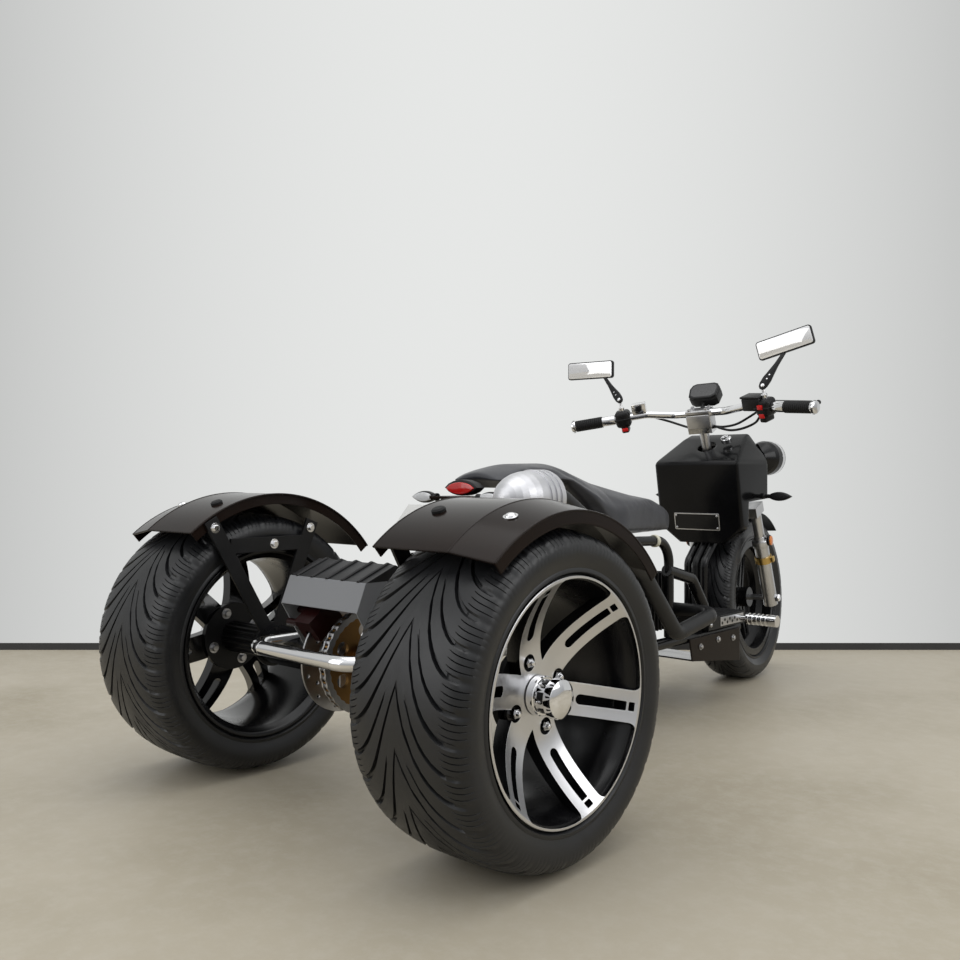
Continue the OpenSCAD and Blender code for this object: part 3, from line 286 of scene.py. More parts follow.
def wheel_finish(name, axis):
    """Machined silver on the faces that look along an axis, gloss black everywhere else."""
    if name in bpy.data.materials:
        return bpy.data.materials[name]
    made = finish(name, colours().machined, (0.55, 0.55, 0.56), 0.24, metal=1.0, wear=0.35, grain=1500, spread=0.12,
                  bump=0.04, edge=0.0012)
    tree = made.node_tree
    limits = {"Axis": axis, "From": 0.40, "To": 0.50}
    mask = node(tree, "ShaderNodeGroup", limits, node_tree=facing_group()).outputs[0]
    gloss = node(tree, "ShaderNodeMapRange", {"Value": mask, "To Min": 0.12, "To Max": 0.30})
    toned = mix_colours(tree, mask, (0.004, 0.004, 0.0045), own_colour(made))
    dress(made, {"Base Color": toned, "Metallic": mask, "Roughness": gloss.outputs["Result"]})
    return made


def exhaust_finish():
    """Brushed silver on the muffler's can, black on the pipe ahead of it."""
    if "exhaust" in bpy.data.materials:
        return bpy.data.materials["exhaust"]
    made = finish("exhaust", (0.66, 0.66, 0.68), (0.56, 0.56, 0.58), 0.42, metal=1.0, wear=0.5, scale=18, grain=1300,
                  bump=0.06, edge=0.001)
    can = beyond(made.node_tree, "Y", CAN_START)
    toned = mix_colours(made.node_tree, can, (0.006, 0.006, 0.0065), own_colour(made))
    dress(made, {"Base Color": toned, "Metallic": can})
    return made


def split_finish(name, lower, upper, height):
    """One finish below a height of the part and another above it, for a plate with two colours."""
    if name in bpy.data.materials:
        return bpy.data.materials[name]
    made = finish(name, lower, lower, 0.35, wear=0.2, edge=0.002, Specular_IOR_Level=0.3)
    above = beyond(made.node_tree, "Z", height)
    dress(made, {"Base Color": mix_colours(made.node_tree, above, own_colour(made), upper)})
    return made


def finishes():
    """Every plain finish of the trike by name."""
    c = colours()
    return {
        "fender": finish("fender_paint", c.fender, (0.018, 0.010, 0.007), 0.15, wear=0.5, scale=9, grain=1800,
                         bump=0.015, edge=0.004, spread=0.06, Specular_IOR_Level=0.14),
        "black": finish("frame_paint", c.frame, (0.008, 0.008, 0.009), 0.20, wear=0.4, grain=700, bump=0.04,
                        edge=0.0015, Specular_IOR_Level=0.35),
        "cover": finish("cover_gloss", c.frame, (0.007, 0.007, 0.008), 0.16, wear=0.4, scale=8, grain=500,
                        bump=0.02, edge=0.007, spread=0.05, Specular_IOR_Level=0.2),
        "satin": finish("satin_black", (0.005, 0.005, 0.0055), (0.012, 0.012, 0.013), 0.38, wear=0.5, grain=1200,
                        bump=0.10, edge=0.0012, Specular_IOR_Level=0.3),
        "cast": finish("cast_black_finish", (0.007, 0.007, 0.008), (0.024, 0.023, 0.021), 0.46, wear=0.7, scale=30,
                       grain=500, bump=0.25, edge=0.0012, Specular_IOR_Level=0.3),
        "rubber": finish("tyre_rubber", c.rubber, (0.013, 0.013, 0.015), 0.33, wear=0.6, scale=22, grain=1400,
                         bump=0.10, spread=0.14, Specular_IOR_Level=0.5),
        "grip": finish("grip_rubber", (0.006, 0.006, 0.0065), (0.013, 0.013, 0.013), 0.55, grain=1600, bump=0.3,
                       Specular_IOR_Level=0.3),
        "chrome": finish("chrome_finish", (0.86, 0.86, 0.87), (0.74, 0.74, 0.75), 0.06, metal=1.0, wear=0.3,
                         spread=0.06, bump=0.01, edge=0.001),
        "steel": finish("steel_finish", (0.50, 0.50, 0.51), (0.33, 0.32, 0.31), 0.28, metal=1.0, wear=0.6, scale=40,
                        bump=0.06, edge=0.0008),
        "alloy": finish("alloy_finish", (0.62, 0.62, 0.63), (0.48, 0.48, 0.48), 0.30, metal=1.0, wear=0.4, grain=1100,
                        bump=0.08, edge=0.001),
        "bronze": finish("bronze_finish", c.bronze, (0.20, 0.11, 0.05), 0.30, metal=1.0, wear=0.5, scale=30,
                         edge=0.0008),
        "red": finish("red_paint_finish", (0.014, 0.0012, 0.0012), (0.009, 0.001, 0.001), 0.30, wear=0.4, edge=0.001,
                      Specular_IOR_Level=0.3),
        "button": finish("red_button", (0.62, 0.010, 0.010), (0.50, 0.008, 0.008), 0.30, wear=0.4, edge=0.0005),
        "plate": finish("blank_plate", (0.62, 0.62, 0.60), (0.52, 0.52, 0.50), 0.35, wear=0.4, edge=0.001),
        "gold": finish("gold_clamp", (0.62, 0.42, 0.14), (0.45, 0.30, 0.10), 0.28, metal=1.0, edge=0.001),
        # The mirror glass is near-white and half metal: a painted reflection of a pale sky that shows under any light.
        "glass": finish("mirror_glass", (0.95, 0.95, 0.96), (0.93, 0.93, 0.94), 0.02, metal=0.5, wear=0.2,
                        spread=0.02, bump=0.0),
        "tail_lens": finish("tail_lens", c.lens, (0.40, 0.006, 0.005), 0.08, coat=1.0, wear=0.3, scale=60,
                            grain=260, bump=0.35),
        "clear_lens": finish("clear_lens_finish", (0.70, 0.71, 0.72), (0.52, 0.53, 0.55), 0.08, coat=1.0, wear=0.6,
                             scale=90, grain=240, bump=0.4),
        "amber": finish("amber_reflector", (0.75, 0.20, 0.01), (0.60, 0.14, 0.01), 0.10, coat=1.0, grain=300,
                        bump=0.4),
        "dial": finish("dial_face", (0.02, 0.02, 0.022), (0.03, 0.03, 0.032), 0.25, coat=0.8),
        "hose": finish("ribbed_hose", (0.005, 0.005, 0.0055), (0.012, 0.012, 0.012), 0.34, grain=900, bump=0.1,
                       Specular_IOR_Level=0.3),
        "ring": finish("pale_ring", (0.62, 0.60, 0.48), (0.45, 0.43, 0.34), 0.40, wear=0.5, edge=0.0006),
    }


def vinyl_finish():
    """Seat vinyl: small leather-like cells, a soft sheen and paler, drier patches."""
    if "seat_vinyl" in bpy.data.materials:
        return bpy.data.materials["seat_vinyl"]
    made = finish("seat_vinyl", colours().vinyl, (0.042, 0.044, 0.052), 0.36, wear=0.5, scale=10, spread=0.12,
                  bump=0.12, Specular_IOR_Level=0.4)
    tree = made.node_tree
    place = node(tree, "ShaderNodeTexCoord").outputs["Object"]
    cells = node(tree, "ShaderNodeTexVoronoi", {"Vector": place, "Scale": 420}, feature="DISTANCE_TO_EDGE")
    height = {"Strength": 0.35, "Distance": 0.0006, "Height": cells.outputs["Distance"]}
    leather = node(tree, "ShaderNodeBump", {**height, "Normal": tree.nodes["relief"].outputs["Normal"]})
    dress(made, {"Normal": leather.outputs["Normal"], "Sheen Weight": 0.08})
    return made


# Making pieces


def add_object(name, data):
    """Adds an object with given data to the scene."""
    made = bpy.data.objects.new(name, data)
    bpy.context.scene.collection.objects.link(made)
    return made


def mesh_object(name, bm):
    """Turns a bmesh into an object of the scene."""
    mesh = bpy.data.meshes.new(name)
    bm.to_mesh(mesh)
    bm.free()
    return add_object(name, mesh)


def smooth(made, sharp=32):
    """Shades an object smooth but for edges sharper than an angle in degrees."""
    made.data.shade_smooth()
    made.data.set_sharp_from_angle(angle=math.radians(sharp))


def piece(name, bm, body, material, sharp=32):
    """Turns a bmesh into a finished piece that rides on a body."""
    bmesh.ops.remove_doubles(bm, verts=bm.verts, dist=0.00001)
    bmesh.ops.dissolve_degenerate(bm, edges=bm.edges, dist=0.000005)
    bmesh.ops.recalc_face_normals(bm, faces=bm.faces)
    made = mesh_object(name, bm)
    smooth(made, sharp)
    made.data.materials.append(material)
    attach(made, body)
    return made


def fresh(count):
    """As many empty bmeshes as asked."""
    return [bmesh.new() for _ in range(count)]


def place_new(bm, before, matrix):
    """Moves the vertices made since a set of them was taken."""
    bmesh.ops.transform(bm, matrix=matrix, verts=[v for v in bm.verts if v not in before])


def lathe(bm, profile, matrix, steps=32, angle=math.tau):
    """Spins a profile of (radius, height) round its Z axis and sets it in place."""
    before = set(bm.verts)
    chain = [bm.verts.new((r, 0, z)) for r, z in profile]
    edges = [bm.edges.new(pair) for pair in zip(chain, chain[1:])]
    bmesh.ops.spin(bm, geom=chain + edges, cent=(0, 0, 0), axis=(0, 0, 1), angle=angle, steps=steps,
                   use_merge=angle >= math.tau)
    place_new(bm, before, matrix)


def block(bm, size, matrix, bevel=0.0, segments=2):
    """A box of a given size about its middle, with rounded edges."""
    before = set(bm.verts)
    made = bmesh.ops.create_cube(bm, size=1)["verts"]
    bmesh.ops.scale(bm, vec=size, verts=made)
    if bevel:
        edges = list({e for v in made for e in v.link_edges})
        bmesh.ops.bevel(bm, geom=edges, offset=bevel, affect="EDGES", segments=segments, profile=0.5, material=-1)
    place_new(bm, before, matrix)


def prism(bm, outline, depth, matrix, bevel=0.0, segments=2):
    """Pulls a flat outline up along its Z axis and rounds the edges of its two faces."""
    before = set(bm.verts)
    face = bm.faces.new([bm.verts.new((x, y, 0)) for x, y in outline])
    rest = bmesh.ops.extrude_face_region(bm, geom=[face])["geom"]
    top = [v for v in rest if isinstance(v, bmesh.types.BMVert)]
    bmesh.ops.translate(bm, vec=(0, 0, depth), verts=top)
    if bevel:
        made = [v for v in bm.verts if v not in before]
        edges = {e for v in made for e in v.link_edges if abs(e.verts[0].co.z - e.verts[1].co.z) < 1e-9}
        bmesh.ops.bevel(bm, geom=list(edges), offset=bevel, affect="EDGES", segments=segments, profile=0.5,
                        material=-1)
    place_new(bm, before, matrix)


def hex_bolt(bm, point, direction, r, h):
    """A washer and a hexagon head with a slightly domed top."""
    matrix = aim(point, direction)
    lathe(bm, [(0, 0), (r * 1.45, 0), (r * 1.45, h * 0.2), (0, h * 0.2)], matrix, steps=16)
    lathe(bm, [(0, h * 0.15), (r, h * 0.15), (r, h * 0.85), (r * 0.82, h), (0, h)], matrix, steps=6)


def dome_bolt(bm, point, direction, r, h):
    """A button head bolt on a thin washer."""
    dome = [(r * math.cos(a), h * 0.25 + h * 0.75 * math.sin(a)) for a in (i * math.pi / 10 for i in range(6))]
    lathe(bm, [(0, 0), (r * 1.3, 0), (r * 1.3, h * 0.25), *dome], aim(point, direction), steps=20)


def smooth_path(points, per_span=8):
    """Points of one smooth curve through given points."""
    path = [points[0] * 2 - points[1], *points, points[-1] * 2 - points[-2]]
    out = []
    for i in range(1, len(path) - 2):
        p0, p1, p2, p3 = path[i - 1 : i + 3]
        for k in range(per_span):
            t = k / per_span
            out.append(0.5 * (2 * p1 + (p2 - p0) * t + (2 * p0 - 5 * p1 + 4 * p2 - p3) * t * t
                              + (3 * p1 - p0 - 3 * p2 + p3) * t * t * t))
    out.append(points[-1])
    return out


def pipe_curve(name, points, radius, body, material, per_span=8):
    """A round run along a smooth curve of one open spline, and its length."""
    path = smooth_path([Vector(p) for p in points], per_span)
    curve = bpy.data.curves.new(name, "CURVE")
    curve.dimensions = "3D"
    curve.bevel_depth = radius
    curve.bevel_resolution = 3
    curve.use_fill_caps = True
    spline = curve.splines.new("POLY")
    spline.points.add(len(path) - 1)
    for target, point in zip(spline.points, path):
        target.co = (*point, 1)
    spline.use_smooth = True
    made = add_object(name, curve)
    curve.materials.append(material)
    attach(made, body)
    return made, sum((b - a).length for a, b in zip(path, path[1:]))


def rear_wheel(x):
    """A rear wheel's frame: Z along the axle to the left, at a distance to the left in metres."""
    return shift(x, REAR_Y, AXLE_Z) @ Matrix.Rotation(math.pi / 2, 4, "Y")


def wheel_face(side, x):
    """A rear wheel's frame with Z out to its side, at a distance out from the middle in metres."""
    base = rear_wheel(side * x)
    return base if side > 0 else base @ Matrix.Rotation(math.pi, 4, "Y")


def wheel_point(x, r, angle):
    """A point at an angle round the rear axle, from straight down toward the rear."""
    a = math.radians(angle)
    return Vector((x, REAR_Y + r * math.sin(a), AXLE_Z - r * math.cos(a)))


def front_wheel():
    """The front wheel's frame: Z along the axle to the left."""
    return STEER @ shift(0, -FORK_OFFSET, 0) @ Matrix.Rotation(math.pi / 2, 4, "Y")


def paint(names, material):
    """Gives CAD nodes a finish."""
    for name in names:
        slots = NODES[name].data.materials
        slots.clear()
        slots.append(material)


class PieceOperator:
    """What the operators share: each makes its pieces once, from the loaded frame."""

    bl_options = {"REGISTER", "UNDO"}

    def execute(self, context):
        self.make(finishes())
        return {"FINISHED"}


class TRIKE_OT_finishes(PieceOperator, bpy.types.Operator):
    """Give every solid of the trike its finish"""

    bl_idname = "trike.finishes"
    bl_label = "Finish the solids"

    def make(self, f):
        paint(["frame", "rear_arms", "seat_rails", "headlights", "rear_rim_left", "rear_rim_right", "front_rim"],
              f["black"])
        paint(["front_cover"], f["cover"])
        paint(["fender_stay_left", "fender_stay_right", "hub_left", "hub_right", "conduits", "controls", "gauge",
               "front_mudguard", "mirror_left", "mirror_right", "footboard_left", "footboard_right"], f["satin"])
        paint(["engine"], f["cast"])
        paint(["fender_left", "fender_right", "belly_plate", "tail_tray"], f["fender"])
        paint(["rear_tyre_left", "rear_tyre_right", "front_tyre"], f["rubber"])
        paint(["grips"], f["grip"])
        paint(["cross_tube", "hub_cap_left", "hub_cap_right", "handlebar", "peg_left", "peg_right"], f["chrome"])
        paint(["fork"], f["alloy"])
        paint(["muffler"], exhaust_finish())
        paint(["axle_shaft", "chain", "brake_disc"], f["steel"])
        paint(["sprocket"], f["bronze"])
        paint(["caliper"], f["red"])
        paint(["plate_holder"], f["plate"])
        paint(["tail_lamp"], f["tail_lens"])
        paint(["rear_turn_left", "rear_turn_right", "front_turn_left", "front_turn_right"], f["clear_lens"])
        paint(["seat"], vinyl_finish())
        paint(["rear_shield"], split_finish("shield_panels", (0.20, 0.205, 0.215), (0.010, 0.010, 0.011), SHIELD_FOLD))


class TRIKE_OT_tyres(PieceOperator, bpy.types.Operator):
    """Make the treaded tyres in place of the plain ones"""

    bl_idname = "trike.tyres"
    bl_label = "Tyres"

    # Columns of one pitch as (share of the pitch, kind): a and b are the swept grooves, c the fine sipes
    columns = [(0, ""), (0.035, "a"), (0.095, "a"), (0.13, ""), (0.19, ""), (0.20, "c"), (0.21, ""), (0.305, ""),
               (0.315, "c"), (0.325, ""), (0.415, ""), (0.425, "c"), (0.435, ""), (0.50, ""), (0.53, "b"), (0.575, "b"),
               (0.605, ""), (0.69, ""), (0.70, "c"), (0.71, ""), (0.80, ""), (0.81, "c"), (0.82, ""), (0.91, ""),
               (0.92, "c"), (0.93, "")]
    # Angles of the section's rings from the crown to the widest place, in degrees
    rings = [90, 89.3, 87, 82, 77, 72, 66, 60, 57, 52, 46, 40, 32, 24, 16, 8, 0]
    # Where each kind of groove runs, as ring numbers
    spans = {"a": [(1, 8), (9, 14)], "b": [(3, 8), (10, 14)], "c": [(9, 14)]}

    # Each tyre's radius and width, the radius of its rim, and the place of its beads from the middle
    rear = (0.270, 0.246, 0.195, 0.1097)
    front = (0.245, 0.130, 0.176, 0.0457)

    def section(self, r, w, rim_r, bead_w):
        """Half of the section from the crown to the bead, as (radius, half width)."""
        middle = rim_r + (r - rim_r) * 0.42
        half = []
        for a in self.rings:
            s, c = math.sin(math.radians(a)), max(math.cos(math.radians(a)), 0)
            half.append((middle + (r - middle) * s**0.62, w / 2 * c**0.62))
        side = [(0.62, 0.72), (0.36, 0.52), (0.30, 0.60), (0.16, 0.62), (0.10, 0.36), (0.0, 0.0)]
        for up, out in side:
            half.append((rim_r + 0.0003 + (middle - rim_r) * up, bead_w + (w / 2 - bead_w) * out))
        half.append((rim_r - 0.0065, bead_w))
        return half

    def tyre(self, name, node_name, r, w, rim_r, bead_w, matrix, body, f):
        half = self.section(r, w, rim_r, bead_w)
        rows = [(p[0], -p[1]) for p in half[:0:-1]] + half
        last = len(half) - 1
        pitches = sizes().tread_pitches
        count = pitches * len(self.columns)
        bm = bmesh.new()
        chain = [bm.verts.new((radius, 0, z)) for radius, z in rows]
        edges = [bm.edges.new(pair) for pair in zip(chain, chain[1:])]
        bmesh.ops.spin(bm, geom=chain + edges, cent=(0, 0, 0), axis=(0, 0, 1), angle=math.tau, steps=count,
                       use_merge=True)
        heights = [z for _, z in rows]
        for v in bm.verts:
            radius = math.hypot(v.co.x, v.co.y)
            column = round(math.atan2(v.co.y, v.co.x) / math.tau * count) % count
            ring = min(range(len(rows)), key=lambda i: abs(heights[i] - v.co.z) + abs(rows[i][0] - radius))
            level = abs(ring - last)
            share, kind = self.columns[column % len(self.columns)]
            lateral = min(half[min(level, 13)][1] / (w / 2), 1)
            sweep = math.radians(36) * (1 - (1 - lateral) ** 2.6)
            turn = math.tau * (column // len(self.columns) + share) / pitches - sweep
            if any(a <= level <= b for a, b in self.spans.get(kind, [])):
                deep = sizes().tread_depth if kind in "ab" and level < 9 else sizes().tread_depth * 0.45
                radius -= deep if level < 12 else deep * 0.5
            v.co.x = radius * math.cos(turn)
            v.co.y = radius * math.sin(turn)
        bmesh.ops.transform(bm, matrix=matrix, verts=bm.verts)
        made = piece(name, bm, body, f["rubber"], sharp=28)
        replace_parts(made, node_name)

    def make(self, f):
        for side, name in SIDES:
            self.tyre(f"treaded_tyre_{name}", f"rear_tyre_{name}", *self.rear, rear_wheel(side * WHEEL_X),
                      "rear_axle", f)
        self.tyre("treaded_tyre_front", "front_tyre", *self.front, front_wheel(), "front_wheel", f)


NUT_ANGLES = (-21, 69, 159, 249)
NUT_R = 0.0575
NUT_SEAT = 0.0385  # How far out of the wheel's middle the nuts sit
SPOKES = 6


class TRIKE_OT_rear_wheels(PieceOperator, bpy.types.Operator):
    """Make the rear wheels with their dished double spokes"""

    bl_idname = "trike.rear_wheels"
    bl_label = "Rear wheels"

    face_r = 0.1885
    window_r = 0.1903
    spoke_half = 0.027
    spoke_turn = math.radians(-103)  # Where the first spoke points, a little below straight ahead
    # The barrel's section as (radius, distance out from the wheel's middle)
    barrel = [(0.1950, 0.1085), (0.1948, 0.1090), (0.1880, 0.1090), (0.1866, 0.1040), (0.1832, 0.0960),
              (0.1785, 0.0850), (0.1745, 0.0600), (0.1730, 0.0), (0.1735, -0.0700), (0.1765, -0.1000),
              (0.1850, -0.1100), (0.1880, -0.1150), (0.1895, -0.1158), (0.1942, -0.1158), (0.1950, -0.1148),
              (0.1950, -0.1110), (0.1890, -0.1080), (0.1805, -0.0980), (0.1775, -0.0700), (0.1765, 0.0),
              (0.1780, 0.0600), (0.1818, 0.0850), (0.1862, 0.0960), (0.1895, 0.1040), (0.1950, 0.1085)]

    def dish(self, r):
        """How far out the spokes' face is from the wheel's middle at a radius."""
        return 0.046 + 0.0695 * max((r - 0.062) / 0.1265, 0) ** 1.7

    def plate(self):
        """The dished plate's section, from the middle of its face out to the lip and back."""
        radii = [0.062 + (self.face_r - 0.062) * i / 16 for i in range(17)]
        face = [(r, self.dish(r)) for r in radii]
        lip = [(0.1893, 0.1161), (0.1938, 0.1161), (0.1946, 0.1152), (0.1946, 0.1060), (self.face_r, 0.1030)]
        back = [(r, z - 0.026) for r, z in reversed(face[:-1])]
        return [(0.0, 0.046)] + face + lip + back + [(0.055, 0.0108), (0.0, 0.0108)]

    def prism(self, bm, outline, rounds, matrix):
        """A cutter through the plate from a flat outline, each corner rounded by its own radius."""
        before = set(bm.verts)
        old = set(bm.faces)
        corners = [bm.verts.new((x, y, -0.02)) for x, y in outline]
        bm.faces.new(corners)
        for radius in sorted(set(rounds) - {0}):
            bmesh.ops.bevel(bm, geom=[v for v, r in zip(corners, rounds) if r == radius], offset=radius,
                            offset_type="OFFSET", segments=6, profile=0.5, affect="VERTICES")
        grown = bmesh.ops.extrude_face_region(bm, geom=[f for f in bm.faces if f not in old])
        top = [v for v in grown["geom"] if isinstance(v, bmesh.types.BMVert)]
        bmesh.ops.translate(bm, vec=(0, 0, 0.16), verts=top)
        place_new(bm, before, matrix)

    def windows(self, turned):
        """The cutters between the spokes, and those of each spoke's slot and end pocket."""
        bm = bmesh.new()
        half, step = self.spoke_half, math.pi / SPOKES
        end = math.sqrt(self.window_r**2 - half**2)
        x = end * math.cos(step) + half * math.sin(step)
        y = end * math.sin(step) - half * math.cos(step)
        turns = [math.radians(a) for a in range(-15, 16, 3)]
        arc = [(self.window_r * math.cos(a), self.window_r * math.sin(a)) for a in turns]
        window = [(half / math.sin(step), 0), (x, -y)] + arc + [(x, y)]
        for i in range(SPOKES):
            spoke = turned @ Matrix.Rotation(2 * step * i + self.spoke_turn, 4, "Z")
            self.prism(bm, window, [0.003, 0.011] + [0] * len(arc) + [0.011], spoke @ Matrix.Rotation(step, 4, "Z"))
            self.prism(bm, [(0.095, -0.0086), (0.1735, -0.0076), (0.1735, 0.0076), (0.095, 0.0086)],
                       [0.0083, 0.0018, 0.0018, 0.0083], spoke)
            self.prism(bm, [(0.1765, -0.0074), (0.1842, -0.0074), (0.1842, 0.0074), (0.1765, 0.0074)],
                       [0.0015] * 4, spoke)
        return bm

    def cut(self, made, bm):
        """Cuts a bmesh out of a piece."""
        bmesh.ops.recalc_face_normals(bm, faces=bm.faces)
        cutter = mesh_object("cutter", bm)
        mesh = cutter.data
        bpy.context.view_layer.objects.active = made
        cut = made.modifiers.new("cut", "BOOLEAN")
        cut.operation = "DIFFERENCE"
        cut.solver = "EXACT"
        cut.object = cutter
        bpy.ops.object.modifier_apply(modifier="cut")
        bpy.data.objects.remove(cutter)
        bpy.data.meshes.remove(mesh)
        smooth(made)

    def make(self, f):
        for side, name in SIDES:
            turned = wheel_face(side, WHEEL_X)
            plate, barrel, pockets, seats = fresh(4)
            lathe(plate, self.plate(), turned, steps=120)
            lathe(barrel, self.barrel, turned, steps=120)
            for angle in NUT_ANGLES:
                matrix = aim(wheel_point(side * (WHEEL_X + NUT_SEAT), NUT_R, angle), (side, 0, 0))
                lathe(pockets, [(0.0, 0.0), (0.0138, 0.0), (0.0138, 0.06), (0.0, 0.06)], matrix, steps=36)
                lathe(seats, [(0.0, -0.004), (0.0137, -0.004), (0.0137, 0.0006), (0.0, 0.0006)], matrix, steps=36)
            bmesh.ops.remove_doubles(pockets, verts=pockets.verts, dist=0.00001)
            made = piece(f"spoked_wheel_{name}", plate, "rear_axle", wheel_finish(f"wheel_{name}", (side, 0, 0)))
            self.cut(made, self.windows(turned))
            self.cut(made, pockets)
            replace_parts(made, f"rear_rim_{name}")
            piece(f"wheel_barrel_{name}", barrel, "rear_axle", f["black"])
            piece(f"nut_seats_{name}", seats, "rear_axle", f["black"])


class TRIKE_OT_cover(PieceOperator, bpy.types.Operator):
    """Make the front cover with the rounded folds of a moulding"""

    bl_idname = "trike.cover"
    bl_label = "Front cover"

    def wide(self, face):
        """Whether a face is one of the cover's panels and not its rim or a bracket's side."""
        return face.calc_area() / max(e.calc_length() for e in face.edges) > 0.02

    def make(self, f):
        bm = bmesh.new()
        bm.from_mesh(NODES["front_cover"].data)
        bmesh.ops.remove_doubles(bm, verts=bm.verts, dist=0.00005)
        bmesh.ops.dissolve_limit(bm, angle_limit=math.radians(1), verts=bm.verts, edges=bm.edges)
        bmesh.ops.recalc_face_normals(bm, faces=bm.faces)
        folds = [e for e in bm.edges if len(e.link_faces) == 2 and e.is_convex
                 and e.calc_face_angle() > math.radians(15) and all(self.wide(face) for face in e.link_faces)]
        bmesh.ops.bevel(bm, geom=folds, offset=0.008, offset_type="OFFSET", segments=4, profile=0.5, affect="EDGES",
                        clamp_overlap=False)
        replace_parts(piece("moulded_cover", bm, "chassis", f["cover"], sharp=40), "front_cover")


class TRIKE_OT_wheel_fittings(PieceOperator, bpy.types.Operator):
    """Make the wheel nuts, the hub bolts and the hub caps"""

    bl_idname = "trike.wheel_fittings"
    bl_label = "Wheel fittings"

    bolt_place = (0.4053, 0.054)  # Out from the middle, and round the axle
    cap_place = 0.4425
    cap = [(0, 0.0002), (0.032, 0.0002), (0.032, 0.012), (0.0305, 0.0138), (0.027, 0.0142), (0.0262, 0.016),
           (0.0262, 0.030), (0.027, 0.032), (0.0308, 0.0325), (0.032, 0.034), (0.032, 0.0445), (0.0305, 0.0475),
           (0.024, 0.0508), (0.014, 0.0530), (0, 0.0538)]

    def make(self, f):
        nuts, bolts = fresh(2)
        bolt_x, bolt_r = self.bolt_place
        for side, name in SIDES:
            for angle in NUT_ANGLES:
                matrix = aim(wheel_point(side * (WHEEL_X + NUT_SEAT), NUT_R, angle), (side, 0, 0))
                lathe(nuts, [(0, 0), (0.0086, 0), (0.0086, 0.009), (0.0070, 0.0115), (0, 0.0125)], matrix, steps=6)
                lathe(nuts, [(0.0060, 0.009), (0.0056, 0.014), (0.0036, 0.017), (0, 0.018)], matrix, steps=16)
                hex_bolt(bolts, wheel_point(side * bolt_x, bolt_r, angle), (-side, 0, 0), 0.008, 0.009)
            turned = wheel_face(side, self.cap_place)
            cap, slots = fresh(2)
            lathe(cap, self.cap, turned, steps=48)
            for i in range(6):
                turn = turned @ Matrix.Rotation(i * math.tau / 6 + 0.3, 4, "Z")
                block(slots, (0.0022, 0.012, 0.012), turn @ shift(0.0258, 0, 0.0232), 0.0007)
            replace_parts(piece(f"turned_cap_{name}", cap, "rear_axle", f["chrome"]), f"hub_cap_{name}")
            piece(f"cap_slots_{name}", slots, "rear_axle", f["satin"])
        piece("wheel_nuts", nuts, "rear_axle", f["chrome"])
        piece("hub_bolts", bolts, "rear_axle", f["steel"])


class TRIKE_OT_seat(PieceOperator, bpy.types.Operator):
    """Make the padded seat by swelling its cover"""

    bl_idname = "trike.seat"
    bl_label = "Seat"

    def make(self, f):
        bm = bmesh.new()
        bm.from_mesh(NODES["seat"].data)
        bmesh.ops.remove_doubles(bm, verts=bm.verts, dist=0.0001)
        bmesh.ops.recalc_face_normals(bm, faces=bm.faces)
        made = mesh_object("padded_seat", bm)
        bpy.context.view_layer.objects.active = made
        made.select_set(True)
        remesh = made.modifiers.new("remesh", "REMESH")
        remesh.mode = "VOXEL"
        remesh.voxel_size = 0.006
        bpy.ops.object.modifier_apply(modifier="remesh")
        self.crown(made)
        self.soften(made)
        self.swell(made)
        self.soften(made, rounds=3)
        subdivide = made.modifiers.new("subdivide", "SUBSURF")
        subdivide.levels = subdivide.render_levels = 1
        bpy.ops.object.modifier_apply(modifier="subdivide")
        made.select_set(False)
        made.data.shade_smooth()
        made.data.materials.clear()
        made.data.materials.append(vinyl_finish())
        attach(made, "chassis")
        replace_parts(made, "seat")

    # Along the seat, in millimetres ahead of the rear axle: its underside, its top and the fall to its edges
    stations = [(326, 600, 604, 6), (480, 607, 639, 18), (562, 610, 640, 30), (642, 549, 620, 42), (716, 475, 599, 44),
                (800, 475, 582, 36), (893, 475, 564, 24), (1010, 475, 548, 16), (1062, 475, 508, 10)]

    def station(self, ahead):
        """The underside, the top and the fall at a place along the seat, in metres."""
        for a, b in zip(self.stations, self.stations[1:]):
            if ahead <= b[0]:
                k = max((ahead - a[0]) / (b[0] - a[0]), 0)
                return [(p + (q - p) * k) / 1000 for p, q in zip(a[1:], b[1:])]
        return [value / 1000 for value in self.stations[-1][1:]]

    def crown(self, made):
        """Slopes the pad's top down to both sides, steeply by the hump and gently at the nose."""
        for v in made.data.vertices:
            low, top, fall = self.station((REAR_Y - v.co.y) * 1000)
            share = min(fall * (abs(v.co.x) / 0.1) ** 1.4 / (top - low), 0.65)
            v.co.z -= max(v.co.z - low, 0) * share

    def soften(self, made, rounds=14):
        """Rounds the pad's edges and draws it in a little, so that it has room to swell."""
        bm = bmesh.new()
        bm.from_mesh(made.data)
        for _ in range(rounds):
            bmesh.ops.smooth_vert(bm, verts=bm.verts, factor=0.5, use_axis_x=True, use_axis_y=True, use_axis_z=True)
        bm.to_mesh(made.data)
        bm.free()

    def swell(self, made):
        """Blows the cover up by cloth simulation, no further than a cap."""
        rest = [v.co.copy() for v in made.data.vertices]
        cloth = made.modifiers.new("cloth", "CLOTH")
        cloth.settings.use_pressure = True
        cloth.settings.uniform_pressure_force = 4
        cloth.settings.effector_weights.gravity = 0
        scene = bpy.context.scene
        for number in range(1, 21):
            scene.frame_set(number)
        shaped = made.evaluated_get(bpy.context.evaluated_depsgraph_get())
        moved = [v.co.copy() for v in shaped.data.vertices]
        made.modifiers.remove(cloth)
        scene.frame_set(1)
        cap = sizes().seat_swell
        floor = min(v.z for v in rest) + 0.004
        for v, a, b in zip(made.data.vertices, rest, moved):
            step = b - a
            if step.length > cap:
                step *= cap / step.length
            if a.z < floor:
                step.z = max(step.z, 0)
            v.co = a + step


